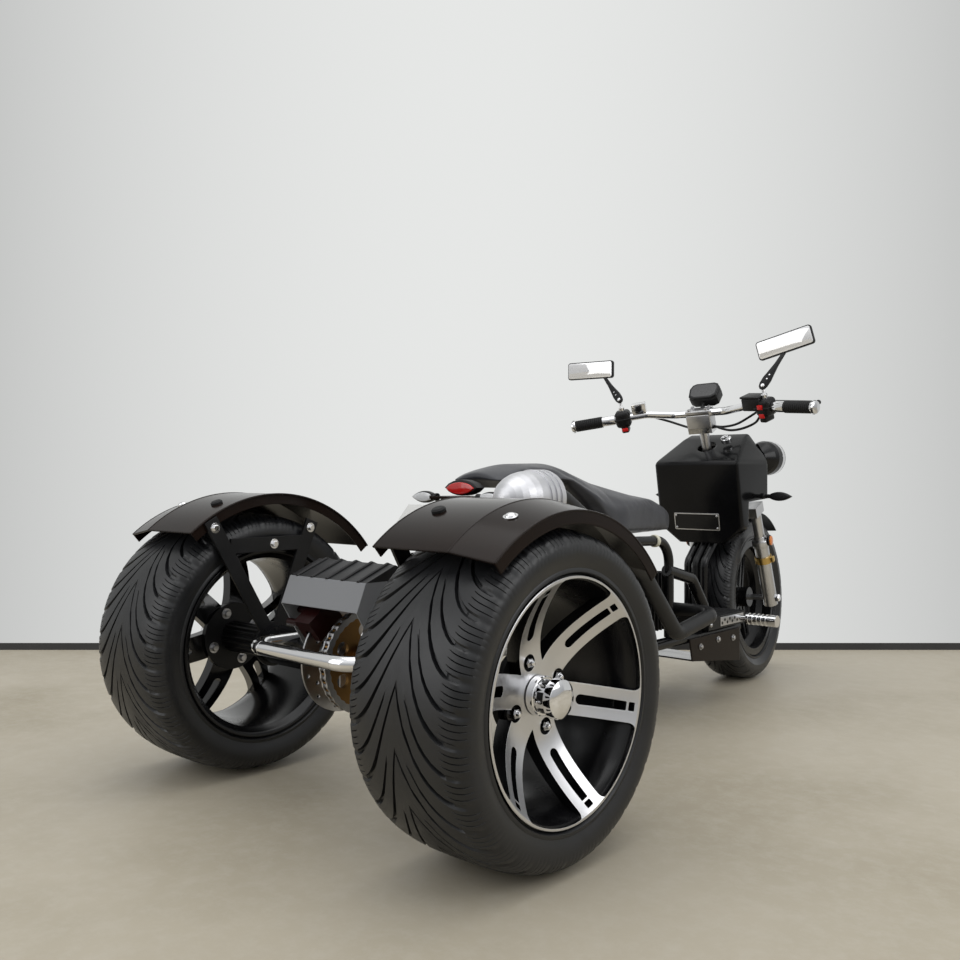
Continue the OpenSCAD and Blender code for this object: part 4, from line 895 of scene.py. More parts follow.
class TRIKE_OT_fender_trim(PieceOperator, bpy.types.Operator):
    """Make the beads, bolts and pads on the fenders"""

    bl_idname = "trike.fender_trim"
    bl_label = "Fender trim"

    # Each bead's radius and place out from the middle, and each bolt's place, radius and angle; the pad's too
    bead_places = ((0.3, 0.509), (0.316, 0.4277), (0.316, 0.265))
    bolt_places = ((0.462, 0.3092, 160.5), (0.462, 0.3092, 205), (0.318, 0.316, 205))
    pad_place = (0.318, 0.316, 159.5)

    def make(self, f):
        middle = at(0, 12, 266)
        beads, bolts, pads = fresh(3)
        for side in (1, -1):
            base = Matrix.Translation(middle) @ Matrix.Rotation(math.pi / 2, 4, "Y")
            start = Matrix.Rotation(math.radians(140), 4, "Z")
            for r, x in self.bead_places:
                before = set(beads.verts)
                ring = bmesh.ops.create_circle(beads, radius=sizes().bead_radius, segments=8)["verts"]
                bmesh.ops.transform(beads, verts=ring,
                                    matrix=shift(r - 0.0012, 0, side * (x - 0.001))
                                    @ Matrix.Rotation(math.pi / 2, 4, "X"))
                edges = list({e for v in ring for e in v.link_edges})
                bmesh.ops.spin(beads, geom=ring + edges, cent=(0, 0, 0), axis=(0, 0, 1),
                               angle=math.radians(92), steps=46)
                place_new(beads, before, base @ start)
            for x, r, angle in self.bolt_places:
                a = math.radians(angle)
                out = Vector((0.10 * side if x > 0.43 else 0, math.sin(a), -math.cos(a)))
                point = middle + Vector((side * x, r * math.sin(a), -r * math.cos(a)))
                dome_bolt(bolts, point, out, 0.009, 0.006)
            x, r, angle = self.pad_place
            a = math.radians(angle)
            point = middle + Vector((side * x, r * math.sin(a), -r * math.cos(a)))
            lathe(pads, [(0, 0), (0.012, 0), (0.012, 0.004), (0.009, 0.0065), (0, 0.007)],
                  aim(point, (0, math.sin(a), -math.cos(a))), steps=24)
        bmesh.ops.holes_fill(beads, edges=[e for e in beads.edges if e.is_boundary])
        piece("fender_beads", beads, "chassis", f["fender"])
        piece("fender_bolts", bolts, "chassis", f["chrome"])
        piece("fender_pads", pads, "chassis", f["grip"])


class TRIKE_OT_rear_fittings(PieceOperator, bpy.types.Operator):
    """Make the shield's embossed ribs and the bolts of the stays and the shield"""

    bl_idname = "trike.rear_fittings"
    bl_label = "Rear fittings"

    def make(self, f):
        ribs = bmesh.new()
        profile = [at(0, -71, 428), at(0, -36, 442.5), at(0, 0, 456.3), at(0, 68, 430)]
        for x in (-88, -44, 0, 44, 88):
            for a, b in zip(profile, profile[1:]):
                matrix = aim(a + Vector((x / 1000, 0, 0)), b - a)
                before = set(ribs.verts)
                bmesh.ops.create_cone(ribs, cap_ends=True, segments=10, radius1=0.0035, radius2=0.0035,
                                      depth=(b - a).length)
                place_new(ribs, before, matrix @ shift(0, 0, (b - a).length / 2))
        piece("shield_ribs", ribs, "chassis", f["satin"])
        bolts = bmesh.new()
        for side in (1, -1):
            for ahead, z in ((-141, 516), (94, 508), (0, 478)):
                hex_bolt(bolts, at(side * 259, ahead, z), (-side, 0, 0), 0.007, 0.007)
            for ahead in (-35, 30):
                hex_bolt(bolts, at(side * 109.7, ahead, 400), (side, 0, 0), 0.005, 0.005)
        piece("stay_bolts", bolts, "chassis", f["chrome"])


HOUSING = 145  # From the handlebar's end in to the middle of a switch housing, in millimetres
LEVER_AHEAD = 46  # From the handlebar forward to its levers, in millimetres


def bar_spot(side, inward, back=0, up=0):
    """A point by the handlebar's outer run in metres, from millimetres in from its end."""
    run = Vector((-203 * side, -69.33, 0)).normalized()
    point = Vector((353 * side, 112, 626)) + run * inward + Vector((0, back, up))
    return steer_point(*point)


def bar_frame(side, inward):
    """A frame on the handlebar's outer run: Z toward the middle, Y up."""
    inner = (bar_spot(side, 200) - bar_spot(side, 0)).normalized()
    across = STEER_UP.cross(inner).normalized()
    return Matrix.Translation(bar_spot(side, inward)) @ axes(across, STEER_UP, inner)


def tapered_bar(length, w1, w2, rounds=6):
    """Outline of a flat bar along X with round ends of two widths."""
    far = [(length + w2 / 2 * math.cos(a), w2 / 2 * math.sin(a))
           for a in (-math.pi / 2 + math.pi * i / rounds for i in range(rounds + 1))]
    near = [(w1 / 2 * math.cos(a), w1 / 2 * math.sin(a))
            for a in (math.pi / 2 + math.pi * i / rounds for i in range(rounds + 1))]
    return far + near


def rounded_rectangle(w, h, r, rounds=5):
    """Outline of a rectangle with round corners."""
    out = []
    for cx, cy, start in ((1, 1, 0), (-1, 1, 90), (-1, -1, 180), (1, -1, 270)):
        for i in range(rounds + 1):
            a = math.radians(start + 90 * i / rounds)
            out.append((cx * (w / 2 - r) + r * math.cos(a), cy * (h / 2 - r) + r * math.sin(a)))
    return out


class TRIKE_OT_mirrors(PieceOperator, bpy.types.Operator):
    """Make the mirrors with their glass, tapered arms and threaded stems"""

    bl_idname = "trike.mirrors"
    bl_label = "Mirrors"

    # Each mirror's side and name, where its head is in the frame of the steering axis, how far it is rolled, and
    # where its arm meets its lower edge
    heads = [(1, "left", (330, -6, 768), -2.5, -48), (-1, "right", (-270, -6, 780), 12.5, 8)]

    def make(self, f):
        stems = bmesh.new()
        to_face = Matrix.Rotation(-math.pi / 2, 4, "X")
        for side, name, place, roll, foot in self.heads:
            body = bmesh.new()
            glass = bmesh.new()
            head = (STEER @ Matrix.Translation(Vector(place) / 1000) @ Matrix.Rotation(RAKE, 4, "X")
                    @ Matrix.Rotation(math.radians(roll), 4, "Y"))
            prism(body, rounded_rectangle(0.155, 0.053, 0.008), 0.0132, head @ to_face
                  @ shift(0, 0, -0.0068), 0.0025, 3)
            prism(glass, rounded_rectangle(0.149, 0.047, 0.006), 0.0012, head @ to_face
                  @ shift(0, 0, 0.0058), 0.0004)
            face = (head.to_3x3() @ Vector((0, 1, 0))).normalized()
            base = bar_spot(side, HOUSING)
            joint = bar_spot(side, HOUSING, up=58)
            end = head @ Vector((foot / 1000, 0, -0.024))
            reach = end - joint
            across = face.cross(reach).normalized()
            out = reach.normalized().cross(across)
            flat = axes(reach.normalized(), across, out)
            prism(body, self.blade(reach.length), 0.008,
                  Matrix.Translation(joint) @ flat @ shift(0, 0, -0.004), 0.0015)
            lathe(stems, [(0, 0), (0.009, 0), (0.009, 0.010), (0.005, 0.011)]
                  + [(0.005 - 0.0006 * (i % 2), 0.012 + 0.0014 * i) for i in range(16)] + [(0, 0.035)],
                  aim(base + (joint - base) * 0.42, joint - base), steps=14)
            for way in (1, -1):
                lathe(stems, [(0, 0.0036), (0.0052, 0.0036), (0.0052, 0.0052), (0.0034, 0.0066), (0, 0.0070)],
                      aim(joint, out * way), steps=16)
                for share in (0.20, 0.32):
                    lathe(stems, [(0, 0.0036), (0.0022, 0.0036), (0.0022, 0.0046), (0, 0.0050)],
                          aim(joint + reach * share, out * way), steps=10)
            made = piece(f"rear_mirror_{name}", body, "steering", f["satin"])
            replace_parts(made, f"mirror_{name}")
            # The glass's near-white finish is a painted reflection of a pale sky.
            piece(f"mirror_glass_{name}", glass, "steering", f["glass"])
        piece("mirror_stems", stems, "steering", f["chrome"])

    def blade(self, length):
        """Outline of a mirror's arm along X: a round foot, a broad waist and a slim tip."""
        upper = [(-0.010, 0.004), (-0.006, 0.0085), (0.004, 0.0115), (length * 0.20, 0.0120), (length * 0.34, 0.0098),
                 (length * 0.62, 0.0060), (length, 0.0042)]
        return [(x, -y) for x, y in upper] + [(x, y) for x, y in reversed(upper)]


class TRIKE_OT_bar_controls(PieceOperator, bpy.types.Operator):
    """Make the grips, the switch housings, the brake cylinder and the levers"""

    bl_idname = "trike.bar_controls"
    bl_label = "Bar controls"

    def make(self, f):
        rubber, bright, dark, red = fresh(4)
        for side in (1, -1):
            sleeve = [(0.0112, 0.0005), (0.0160, 0.0005)]
            for i in range(13):
                sleeve += [(0.0168, 0.002 + i * 0.006), (0.0168, 0.006 + i * 0.006), (0.0158, 0.0068 + i * 0.006)]
            sleeve += [(0.0165, 0.082), (0.0112, 0.082)]
            lathe(rubber, sleeve, bar_frame(side, 0), steps=28)
            lathe(bright, [(0.0112, 0.0825), (0.0150, 0.0825), (0.0152, 0.119), (0.0140, 0.121), (0.0112, 0.121)],
                  bar_frame(side, 0), steps=28)
            lathe(bright, [(0, -0.0135), (0.012, -0.0135), (0.0165, -0.0115), (0.0176, -0.008), (0.0176, -0.002),
                           (0.0165, 0.0), (0, 0.0)], bar_frame(side, 0), steps=28)
            for i in range(10):
                a = i * math.tau / 10
                block(dark, (0.003, 0.0016, 0.007), bar_frame(side, 0) @ Matrix.Rotation(a, 4, "Z")
                      @ shift(0.0170, 0, -0.0055), 0.0004, 1)
            block(dark, (0.046, 0.050, 0.045), bar_frame(side, HOUSING), 0.012, 4)
            block(dark, (0.050, 0.006, 0.047), bar_frame(side, HOUSING), 0.002, 2)
            block(dark, (0.040, 0.026, 0.022), bar_frame(side, HOUSING) @ shift(0, -0.028, 0.002), 0.005, 3)
            # The levers: a perch ahead of the bar and a tapered blade with a ball on its end
            perch = bar_spot(side, HOUSING, back=-LEVER_AHEAD)
            tip = bar_spot(side, -4, back=-LEVER_AHEAD)
            run = tip - perch
            flat = axes(run.normalized(), STEER_UP.cross(run).normalized(), STEER_UP)
            prism(dark, tapered_bar(run.length, 0.016, 0.009), 0.008,
                  Matrix.Translation(perch) @ flat @ shift(0, 0, -0.004), 0.002)
            ball = [(0.0068 * math.sin(a), -0.0068 * math.cos(a)) for a in (math.pi * i / 8 for i in range(9))]
            lathe(dark, ball, Matrix.Translation(tip), steps=16)
            between = (perch + bar_spot(side, HOUSING)) / 2
            block(dark, (0.022, 0.030, 0.024), Matrix.Translation(between) @ flat, 0.004, 2)
        # The right side's brake cylinder with its lid, and the switches' red buttons
        box = bar_frame(-1, 176)
        block(dark, (0.040, 0.036, 0.058), box @ shift(0.004, 0.010, 0.002), 0.004, 2)
        block(dark, (0.044, 0.006, 0.062), box @ shift(0.004, 0.0305, 0.002), 0.002, 2)
        back = -1 if (bar_frame(-1, HOUSING).to_3x3() @ Vector((1, 0, 0))).y < 0 else 1
        for y, depth in ((0.004, 0.024), (-0.021, 0.021)):
            block(red, (0.006, 0.013, 0.017), bar_frame(-1, HOUSING + 2) @ shift(back * depth, y, 0), 0.002, 2)
        back = -1 if (bar_frame(1, HOUSING).to_3x3() @ Vector((1, 0, 0))).y < 0 else 1
        block(red, (0.006, 0.010, 0.018), bar_frame(1, HOUSING + 2) @ shift(back * 0.0205, -0.030, 0), 0.002, 2)
        block(bright, (0.024, 0.030, 0.042), bar_frame(1, 196) @ shift(0, 0.024, 0), 0.003, 2)
        lathe(dark, [(0, 0), (0.009, 0), (0.009, 0.0015), (0.0075, 0.002), (0, 0.002)],
              bar_frame(1, 196) @ shift(back * 0.0118, 0.024, 0)
              @ Matrix.Rotation(back * math.pi / 2, 4, "Y"), steps=20)
        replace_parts(piece("ribbed_grips", rubber, "steering", f["grip"]), "grips")
        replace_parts(piece("switch_housings", dark, "steering", f["satin"]), "controls")
        piece("bar_brightwork", bright, "steering", f["chrome"])
        piece("red_buttons", red, "steering", f["button"])


class TRIKE_OT_gauge(PieceOperator, bpy.types.Operator):
    """Make the gauge pod with its dark window, and the bar's two-part clamp"""

    bl_idname = "trike.gauge"
    bl_label = "Gauge and clamp"

    # Outline of the pod as shares of half its width and half its length, the rider's side first
    outline = [(-0.62, 1), (0.62, 1), (0.92, 0.72), (1, -0.3), (0.86, -0.82), (0.6, -1), (-0.6, -1), (-0.86, -0.82),
               (-1, -0.3), (-0.92, 0.72)]

    place = (0, -58, 644)  # In the frame of the steering axis, in millimetres
    tilt = math.radians(-30)

    def make(self, f):
        middle = STEER @ Matrix.Translation(Vector(self.place) / 1000) @ Matrix.Rotation(self.tilt, 4, "X")
        pod, rim, face, stalk = fresh(4)
        prism(pod, [(x * 0.046, y * 0.031) for x, y in self.outline], 0.034,
              middle @ shift(0, 0, -0.020), 0.006, 4)
        prism(rim, [(x * 0.0452, y * 0.0302) for x, y in self.outline], 0.007,
              middle @ shift(0, 0, 0.0128), 0.0022, 3)
        prism(face, [(x * 0.0395, y * 0.0245) for x, y in self.outline], 0.0009,
              middle @ shift(0, 0, 0.0193), 0.0003, 1)
        foot, top = steer_point(0, 8, 597), steer_point(*self.place)
        lathe(stalk, [(0, 0), (0.006, 0), (0.006, (top - foot).length - 0.010), (0, (top - foot).length - 0.010)],
              aim(foot, top - foot), steps=20)
        for bm in (rim, stalk):
            before = bpy.data.meshes.new("joined")
            bm.to_mesh(before)
            pod.from_mesh(before)
            bpy.data.meshes.remove(before)
            bm.free()
        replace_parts(piece("gauge_pod", pod, "steering", f["satin"]), "gauge")
        piece("gauge_window", face, "steering", f["dial"])
        clamp, bolts = fresh(2)
        for low, high, wide, deep in ((0.5508, 0.5660, 0.058, 0.0366), (0.5655, 0.6072, 0.0728, 0.0408),
                                      (0.6086, 0.6194, 0.0728, 0.0408)):
            block(clamp, (wide, deep, high - low), STEER @ shift(0, 0.008, (low + high) / 2), 0.0028, 3)
        for x in (-25, 25):
            for y in (-6, 22):
                spot = steer_point(x, y, 619.2)
                lathe(bolts, [(0, 0), (0.0052, 0), (0.0052, 0.0050), (0.0046, 0.0056), (0.0030, 0.0056),
                              (0.0030, 0.0030), (0, 0.0030)], aim(spot, STEER_UP), steps=18)
        piece("bar_clamp", clamp, "steering", f["alloy"])
        piece("clamp_bolts", bolts, "steering", f["steel"])


class TRIKE_OT_cables(PieceOperator, bpy.types.Operator):
    """Make the control cables under the handlebar"""

    bl_idname = "trike.cables"
    bl_label = "Cables"

    # Points of each cable in the frame of the steering axis, in millimetres, from its lever to the stem
    routes = {
        "cable_left": [(206, 12, 616), (176, -20, 604), (128, -40, 580), (84, -40, 562), (52, -24, 557), (33, -6, 562)],
        "cable_right": [(-206, 12, 616), (-176, -22, 600), (-128, -44, 572), (-86, -42, 553), (-54, -26, 552),
                        (-33, -8, 560)],
        "cable_switch": [(-194, 58, 600), (-168, 34, 574), (-126, 18, 556), (-88, 10, 550), (-60, 6, 555),
                         (-34, 4, 566)],
    }

    def make(self, f):
        for name, route in self.routes.items():
            r = sizes().cable_radius
            points = [steer_point(*p) for p in route]
            made, length = pipe_curve(name, points, r, "steering", f["hose"])


class TRIKE_OT_lamps(PieceOperator, bpy.types.Operator):
    """Make the tail lamp, the turn lamps and the headlights' glass"""

    bl_idname = "trike.lamps"
    bl_label = "Lamps"

    # Each pair of turn lamps: its name, its place ahead, up and out, its stem and which way it looks, in millimetres
    turn_lamps = (("rear", 280, 573.3, 58, 13, 1), ("front", 1435, 560, 134, 26, -1))

    def leaf(self, length, height, rounds=9):
        """Outline of a leaf along X with a blunt root and a pointed tip."""
        top = []
        for i in range(rounds + 1):
            k = i / rounds
            top.append((length * k, height / 2 * (math.sin(math.pi * min(k * 0.86 + 0.16, 1)) ** 0.8)))
        return [(x, -y) for x, y in top] + [(x, y) for x, y in reversed(top[:-1])]

    def eye(self, width, height, rounds=8):
        """Outline of a pointed oval about its middle."""
        shares = [2 * i / rounds - 1 for i in range(rounds + 1)]
        low = [(width / 2 * k, -height / 2 * (1 - k * k) ** 0.75) for k in shares]
        return low + [(x, -y) for x, y in reversed(low[1:-1])]

    def make(self, f):
        for where, y_ahead, z, x, stem, back in self.turn_lamps:
            for side, name in SIDES:
                body, lens = fresh(2)
                root = at(side * (x + stem), y_ahead, z)
                turn = Matrix(((side, 0, 0), (0, 0, back), (0, 1, 0))).to_4x4()
                if turn.determinant() < 0:
                    turn = turn @ Matrix.Scale(-1, 4, (0, 0, 1))
                base = Matrix.Translation(root) @ turn
                facing = (base.to_3x3() @ Vector((0, 0, 1))).y * back
                low, high = (-0.0095, 0.0040) if facing > 0 else (-0.0055, -0.0100)
                prism(body, self.leaf(0.064, 0.026), 0.015, base @ shift(0, 0, low), 0.004, 3)
                prism(lens, self.leaf(0.056, 0.020), 0.006, base @ shift(0.002, 0, high), 0.0022, 3)
                lathe(body, [(0, 0), (0.0085, 0), (0.0085, 0.005), (0.006, 0.008), (0.006, 0.020 + stem / 1000)],
                      aim(at(side * x, y_ahead, z), (side, 0, 0)), steps=18)
                made = piece(f"{where}_turn_body_{name}", body, "chassis", f["satin"])
                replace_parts(made, f"{where}_turn_{name}")
                piece(f"{where}_turn_lens_{name}", lens, "chassis",
                      f["clear_lens"] if where == "rear" else f["amber"])
        body, lens = fresh(2)
        middle = at(0, 300, 594)
        turn = Matrix.Rotation(math.pi / 2, 4, "X") @ Matrix.Rotation(math.pi, 4, "Y")
        prism(body, self.eye(0.096, 0.034), 0.026, Matrix.Translation(middle) @ turn
              @ shift(0, 0, -0.016), 0.003, 3)
        prism(lens, self.eye(0.080, 0.026), 0.008, Matrix.Translation(middle + Vector((0, 0, -0.0015))) @ turn
              @ shift(0, 0, 0.0065), 0.002, 3)
        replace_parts(piece("tail_lamp_body", body, "chassis", f["satin"]), "tail_lamp")
        piece("tail_lamp_lens", lens, "chassis", f["tail_lens"])
        glass, rings = fresh(2)
        for side in (1, -1):
            base = aim(at(side * 78, 1555 + 27, 673), (0, -1, 0))
            lathe(glass, [(0, 0.010), (0.018, 0.009), (0.034, 0.006), (0.0445, 0.001), (0.0445, -0.001), (0, -0.001)],
                  base, steps=36)
            lathe(rings, [(0.0450, -0.002), (0.0522, -0.002), (0.0524, 0.012), (0.0505, 0.0146), (0.0470, 0.0146),
                          (0.0450, 0.010), (0.0450, -0.002)], base, steps=40)
        piece("headlight_glass", glass, "chassis", f["clear_lens"])
        piece("headlight_rings", rings, "chassis", f["chrome"])


class TRIKE_OT_floor_fittings(PieceOperator, bpy.types.Operator):
    """Make the footboards' bright strips and the belly plate's bolts"""

    bl_idname = "trike.floor_fittings"
    bl_label = "Floor fittings"

    def make(self, f):
        strips, holes, bolts = fresh(3)
        for side in (1, -1):
            middle = at(side * 150.6, 1215, 227)
            block(strips, (0.0016, 0.130, 0.024), Matrix.Translation(middle), 0.0005, 1)
            for i in range(9):
                lathe(holes, [(0, 0), (0.0042, 0), (0.0042, 0.0004), (0, 0.0004)],
                      aim(at(side * 151.3, 1159 + 14 * i, 227 + (4 if i % 2 else -4)), (side, 0, 0)), steps=14)
            for ahead, z in ((1100, 218), (1278, 218)):
                dome_bolt(bolts, at(side * 150, ahead, z + 6), (side, 0, 0), 0.005, 0.004)
            for ahead, z in ((1066, 170), (1245, 172), (1160, 178)):
                hex_bolt(bolts, at(side * 138, ahead, z), (side, 0, 0), 0.006, 0.006)
        piece("board_strips", strips, "chassis", f["alloy"])
        piece("board_strip_holes", holes, "chassis", f["satin"])
        piece("floor_bolts", bolts, "chassis", f["steel"])


class TRIKE_OT_front_trim(PieceOperator, bpy.types.Operator):
    """Make the fork's collars and reflectors, the ignition lock, the blank plate and the seat posts' rings"""

    bl_idname = "trike.front_trim"
    bl_label = "Front trim"

    def make(self, f):
        collars, gold, amber, dark, bright = fresh(5)
        for side in (1, -1):
            lathe(collars, [(0.0151, 0), (0.0245, 0), (0.0252, 0.002), (0.0252, 0.018), (0.0240, 0.020),
                            (0.0190, 0.022), (0.0170, 0.030), (0.0151, 0.030)],
                  aim(steer_point(100 * side, -35, 171), STEER_UP), steps=32)
            lathe(gold, [(0.0211, 0), (0.0250, 0), (0.0250, 0.020), (0.0211, 0.020)],
                  aim(steer_point(100 * side, -35, 118), STEER_UP), steps=28)
            out = STEER.to_3x3() @ Vector((side, 0, 0))
            block(gold, (0.012, 0.016, 0.016),
                  Matrix.Translation(steer_point(127 * side, -35, 128)) @ STEER.to_3x3().to_4x4(), 0.002)
            lathe(dark, [(0, 0), (0.017, 0), (0.017, 0.006), (0.0155, 0.008), (0, 0.008)],
                  aim(steer_point(122 * side, -40, 186), out), steps=24)
            lathe(amber, [(0, 0.008), (0.0145, 0.008), (0.0140, 0.0105), (0.009, 0.0125), (0, 0.013)],
                  aim(steer_point(122 * side, -40, 186), out), steps=24)
            lathe(bright, [(0, 0), (0.012, 0), (0.012, 0.010), (0.009, 0.013), (0, 0.013)],
                  aim(steer_point(118 * side, -35, 0), out), steps=6)
        piece("fork_collars", collars, "steering", f["alloy"])
        piece("fork_clamps", gold, "steering", f["gold"])
        piece("reflector_backs", dark, "steering", f["satin"])
        piece("reflectors", amber, "steering", f["amber"])
        piece("front_axle_nuts", bright, "steering", f["chrome"])
        lock = bmesh.new()
        lathe(lock, [(0, 0), (0.015, 0), (0.015, 0.012), (0.0135, 0.014), (0.009, 0.0145), (0.0085, 0.012), (0, 0.012)],
              aim(at(-62, 1352, 719), (-0.1, 0.55, 0.8)), steps=28)
        piece("ignition_lock", lock, "chassis", f["chrome"])
        # A bare plate on the cover's rear wall, whose slope runs from the shoulder to the waist
        back = (at(0, 1275, 658) - at(0, 1310, 471)).normalized()
        right = Vector((-1, 0, 0))
        place = Matrix.Translation(at(9, 1307.2, 486)) @ axes(right, back, right.cross(back))
        edge, panel, rivets = fresh(3)
        prism(edge, rounded_rectangle(0.146, 0.050, 0.004), 0.0012, place @ shift(0, 0, 0.0002), 0.0003, 1)
        prism(panel, rounded_rectangle(0.140, 0.044, 0.003), 0.0006, place @ shift(0, 0, 0.0012), 0.0002, 1)
        for x in (-0.066, 0.066):
            for y in (-0.018, 0.018):
                dome_bolt(rivets, place @ Vector((x, y, 0.0016)), place.to_3x3() @ Vector((0, 0, 1)), 0.0026, 0.0016)
        piece("plate_edge", edge, "chassis", f["alloy"])
        piece("plate_panel", panel, "chassis", f["black"])
        piece("plate_rivets", rivets, "chassis", f["alloy"])
        rings = bmesh.new()
        for side in (1, -1):
            lathe(rings, [(0.0121, -0.006), (0.0148, -0.006), (0.0156, -0.004), (0.0156, 0.004), (0.0148, 0.006),
                          (0.0121, 0.006), (0.0121, -0.006)], aim(at(side * 120, 868, 457.2), (0, 1, 0.034)), steps=28)
        piece("post_rings", rings, "chassis", f["ring"])


class TRIKE_OT_stage(PieceOperator, bpy.types.Operator):
    """Make the floor, the backdrop, the lights and the camera"""

    bl_idname = "trike.stage"
    bl_label = "Stage"

    wall_away = 3.42  # From the camera, along the floor
    strip_high = 0.025

    def make(self, f):
        c = colours()
        scene = bpy.context.scene
        floor = self.sheet("floor", 14, Matrix.Identity(4), self.floor_finish(c))
        yaw = math.radians(42.04)
        ahead = Vector((math.sin(yaw), -math.cos(yaw), 0))
        eye = Vector((-1.3975, 1.9616, 0.6184))
        foot = Vector((eye.x, eye.y, 0)) + ahead * self.wall_away
        wall = self.sheet("wall", 14, aim(foot, -ahead), self.wall_finish(c, ahead, foot))
        strip = aim(foot - ahead * 0.004 + Vector((0, 0, self.strip_high / 2)), -ahead)
        skirting = self.sheet("skirting", 0.5, strip @ Matrix.Diagonal((28, self.strip_high, 1, 1)),
                              self.skirting_finish())
        for made in (wall, skirting):
            made.visible_shadow = False
            made.visible_diffuse = False

        world = bpy.data.worlds.new("studio")
        scene.world = world
        world.use_nodes = True
        self.sky(world.node_tree)
        for name, place, target, size, power in (
            ("overhead", (-0.3, 0.4, 3.2), (0, 0.2, 0.3), 3.0, 30),
            ("left_box", (1.15, 3.5, 1.65), (0, 0.2, 0.6), 2.7, 26),
            ("right_box", (-3.2, -0.4, 2.0), (0, 0, 0.4), 1.8, 22),
        ):
            lamp = bpy.data.lights.new(name, "AREA")
            lamp.size = size
            lamp.energy = power
            held = add_object(name, lamp)
            held.matrix_world = aim(Vector(place), Vector(place) - Vector(target))

        camera = bpy.data.cameras.new("photo_view")
        camera.sensor_width = 36
        camera.lens = 36.03
        held = add_object("photo_view", camera)
        held.location = eye
        held.rotation_euler = (math.radians(90 - 0.23), 0, math.pi + yaw)
        scene.camera = held
        scene.view_settings.view_transform = "Standard"

    def sheet(self, name, size, matrix, material):
        """A flat sheet, set in place."""
        bm = bmesh.new()
        bmesh.ops.create_grid(bm, x_segments=1, y_segments=1, size=size)
        bmesh.ops.transform(bm, matrix=matrix, verts=bm.verts)
        made = mesh_object(name, bm)
        made.data.materials.append(material)
        return made

    def sky(self, tree):
        """A soft sky, dimmer at the horizon and bright overhead."""
        place = node(tree, "ShaderNodeTexCoord").outputs["Generated"]
        parts = node(tree, "ShaderNodeSeparateXYZ", {0: place})
        limits = {"From Min": -0.05, "From Max": 0.85, "To Min": 0.38, "To Max": 0.95}
        span = node(tree, "ShaderNodeMapRange", {"Value": parts.outputs["Z"], **limits},
                    interpolation_type="SMOOTHSTEP")
        feed(tree, tree.nodes["Background"], {"Color": (0.97, 0.985, 1.0), "Strength": span.outputs["Result"]})

    def floor_finish(self, c):
        """Warm concrete with wide stains and fine speckle."""
        made = finish("pale_floor", c.floor, (0.33, 0.29, 0.215), 0.45, wear=0.9, scale=1.7, grain=60, spread=0.2,
                      bump=0.05, Specular_IOR_Level=0.3)
        tree = made.node_tree
        place = node(tree, "ShaderNodeTexCoord").outputs["Object"]
        speckle = node(tree, "ShaderNodeTexNoise", {"Vector": place, "Scale": 26, "Detail": 8, "Roughness": 0.75})
        limits = {"From Min": 0.45, "From Max": 0.75, "To Max": 0.45}
        span = node(tree, "ShaderNodeMapRange", {"Value": speckle.outputs["Fac"], **limits})
        dress(made, {"Base Color": mix_colours(tree, span.outputs["Result"], own_colour(made), (0.50, 0.47, 0.40))})
        return made

    def one_sided(self, made, surface):
        """Lets a sheet be seen from its front only."""
        tree = made.node_tree
        out = next(n for n in tree.nodes if n.type == "OUTPUT_MATERIAL")
        clear = node(tree, "ShaderNodeBsdfTransparent")
        side = node(tree, "ShaderNodeNewGeometry")
        both = node(tree, "ShaderNodeMixShader", {0: side.outputs["Backfacing"], 1: surface, 2: clear.outputs[0]})
        feed(tree, out, {"Surface": both.outputs[0]})

    def skirting_finish(self):
        """A dark strip at the foot of the wall."""
        made = finish("skirting", (0.028, 0.028, 0.029), (0.05, 0.05, 0.05), 0.5, wear=0.5, scale=6)
        self.one_sided(made, made.node_tree.nodes["Principled BSDF"].outputs[0])
        return made

    def wall_finish(self, c, ahead, foot):
        """A pale wall that shows its own tone, with painted shade that makes it a little darker to both sides."""
        made = finish("pale_wall", c.wall, (0.76, 0.76, 0.76), 0.8, wear=0.4, scale=1.2, grain=300, bump=0.02)
        tree = made.node_tree
        shader = tree.nodes["Principled BSDF"]
        place = node(tree, "ShaderNodeTexCoord").outputs["Object"]
        centred = node(tree, "ShaderNodeVectorMath", {0: place, 1: foot}, operation="SUBTRACT")
        across = {0: centred.outputs[0], 1: (ahead.y, -ahead.x, 0)}
        along = node(tree, "ShaderNodeVectorMath", across, operation="DOT_PRODUCT").outputs["Value"]
        square = node(tree, "ShaderNodeMath", {0: along, 1: along}, operation="MULTIPLY")
        # Painted shade: the wall's glow falls from full in the middle to 0.71 about 1.7 m out to each side.
        limits = {"From Max": 3.0, "To Min": 1.0, "To Max": 0.71}
        level = node(tree, "ShaderNodeMapRange", {"Value": square.outputs[0], **limits})
        glow_with_painted_shade = node(tree, "ShaderNodeEmission", {"Color": c.wall, "Strength": level.outputs["Result"]})
        rays = node(tree, "ShaderNodeLightPath").outputs
        seen = rays["Is Camera Ray"]
        for kind in ("Is Glossy Ray", "Is Transmission Ray"):
            seen = node(tree, "ShaderNodeMath", {0: seen, 1: rays[kind]}, operation="MAXIMUM").outputs[0]
        lit = node(tree, "ShaderNodeMixShader", {0: seen, 1: shader.outputs[0], 2: glow_with_painted_shade.outputs[0]})
        self.one_sided(made, lit.outputs[0])
        return made


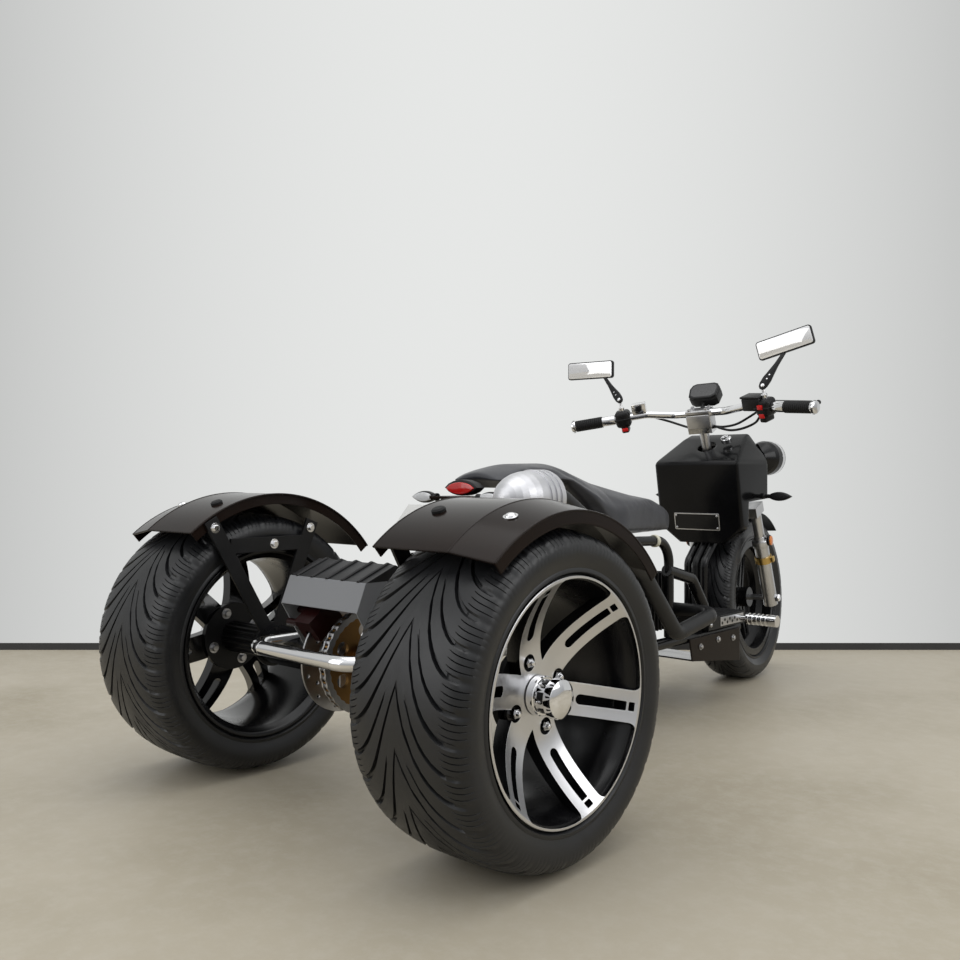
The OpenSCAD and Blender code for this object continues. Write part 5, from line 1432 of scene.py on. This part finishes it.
OPERATORS = (
    TRIKE_OT_stage,
    TRIKE_OT_finishes,
    TRIKE_OT_tyres,
    TRIKE_OT_rear_wheels,
    TRIKE_OT_cover,
    TRIKE_OT_wheel_fittings,
    TRIKE_OT_seat,
    TRIKE_OT_fender_trim,
    TRIKE_OT_rear_fittings,
    TRIKE_OT_mirrors,
    TRIKE_OT_bar_controls,
    TRIKE_OT_gauge,
    TRIKE_OT_cables,
    TRIKE_OT_lamps,
    TRIKE_OT_floor_fittings,
    TRIKE_OT_front_trim,
)


class TRIKE_PT_panel(bpy.types.Panel):
    """Lists the trike's pieces in the sidebar"""

    bl_idname = "TRIKE_PT_panel"
    bl_label = "Motor trike"
    bl_space_type = "VIEW_3D"
    bl_region_type = "UI"
    bl_category = "Trike"

    def draw(self, context):
        for operator in OPERATORS:
            self.layout.operator(operator.bl_idname)
        for group in (context.scene.trike_sizes, context.scene.trike_colours):
            for name in group.__annotations__:
                self.layout.prop(group, name)


CLASSES = (TrikeSizes, TrikeColours, *OPERATORS, TRIKE_PT_panel)


def register():
    for made in CLASSES:
        bpy.utils.register_class(made)
    bpy.types.Scene.trike_sizes = bpy.props.PointerProperty(type=TrikeSizes)
    bpy.types.Scene.trike_colours = bpy.props.PointerProperty(type=TrikeColours)


def unregister():
    del bpy.types.Scene.trike_colours
    del bpy.types.Scene.trike_sizes
    for made in reversed(CLASSES):
        bpy.utils.unregister_class(made)


def main():
    register()
    bpy.ops.trike.stage()
    bpy.ops.trike.finishes()
    bpy.ops.trike.tyres()
    bpy.ops.trike.rear_wheels()
    bpy.ops.trike.cover()
    bpy.ops.trike.wheel_fittings()
    bpy.ops.trike.seat()
    bpy.ops.trike.fender_trim()
    bpy.ops.trike.rear_fittings()
    bpy.ops.trike.mirrors()
    bpy.ops.trike.bar_controls()
    bpy.ops.trike.gauge()
    bpy.ops.trike.cables()
    bpy.ops.trike.lamps()
    bpy.ops.trike.floor_fittings()
    bpy.ops.trike.front_trim()


if __name__ == "__main__":
    main()
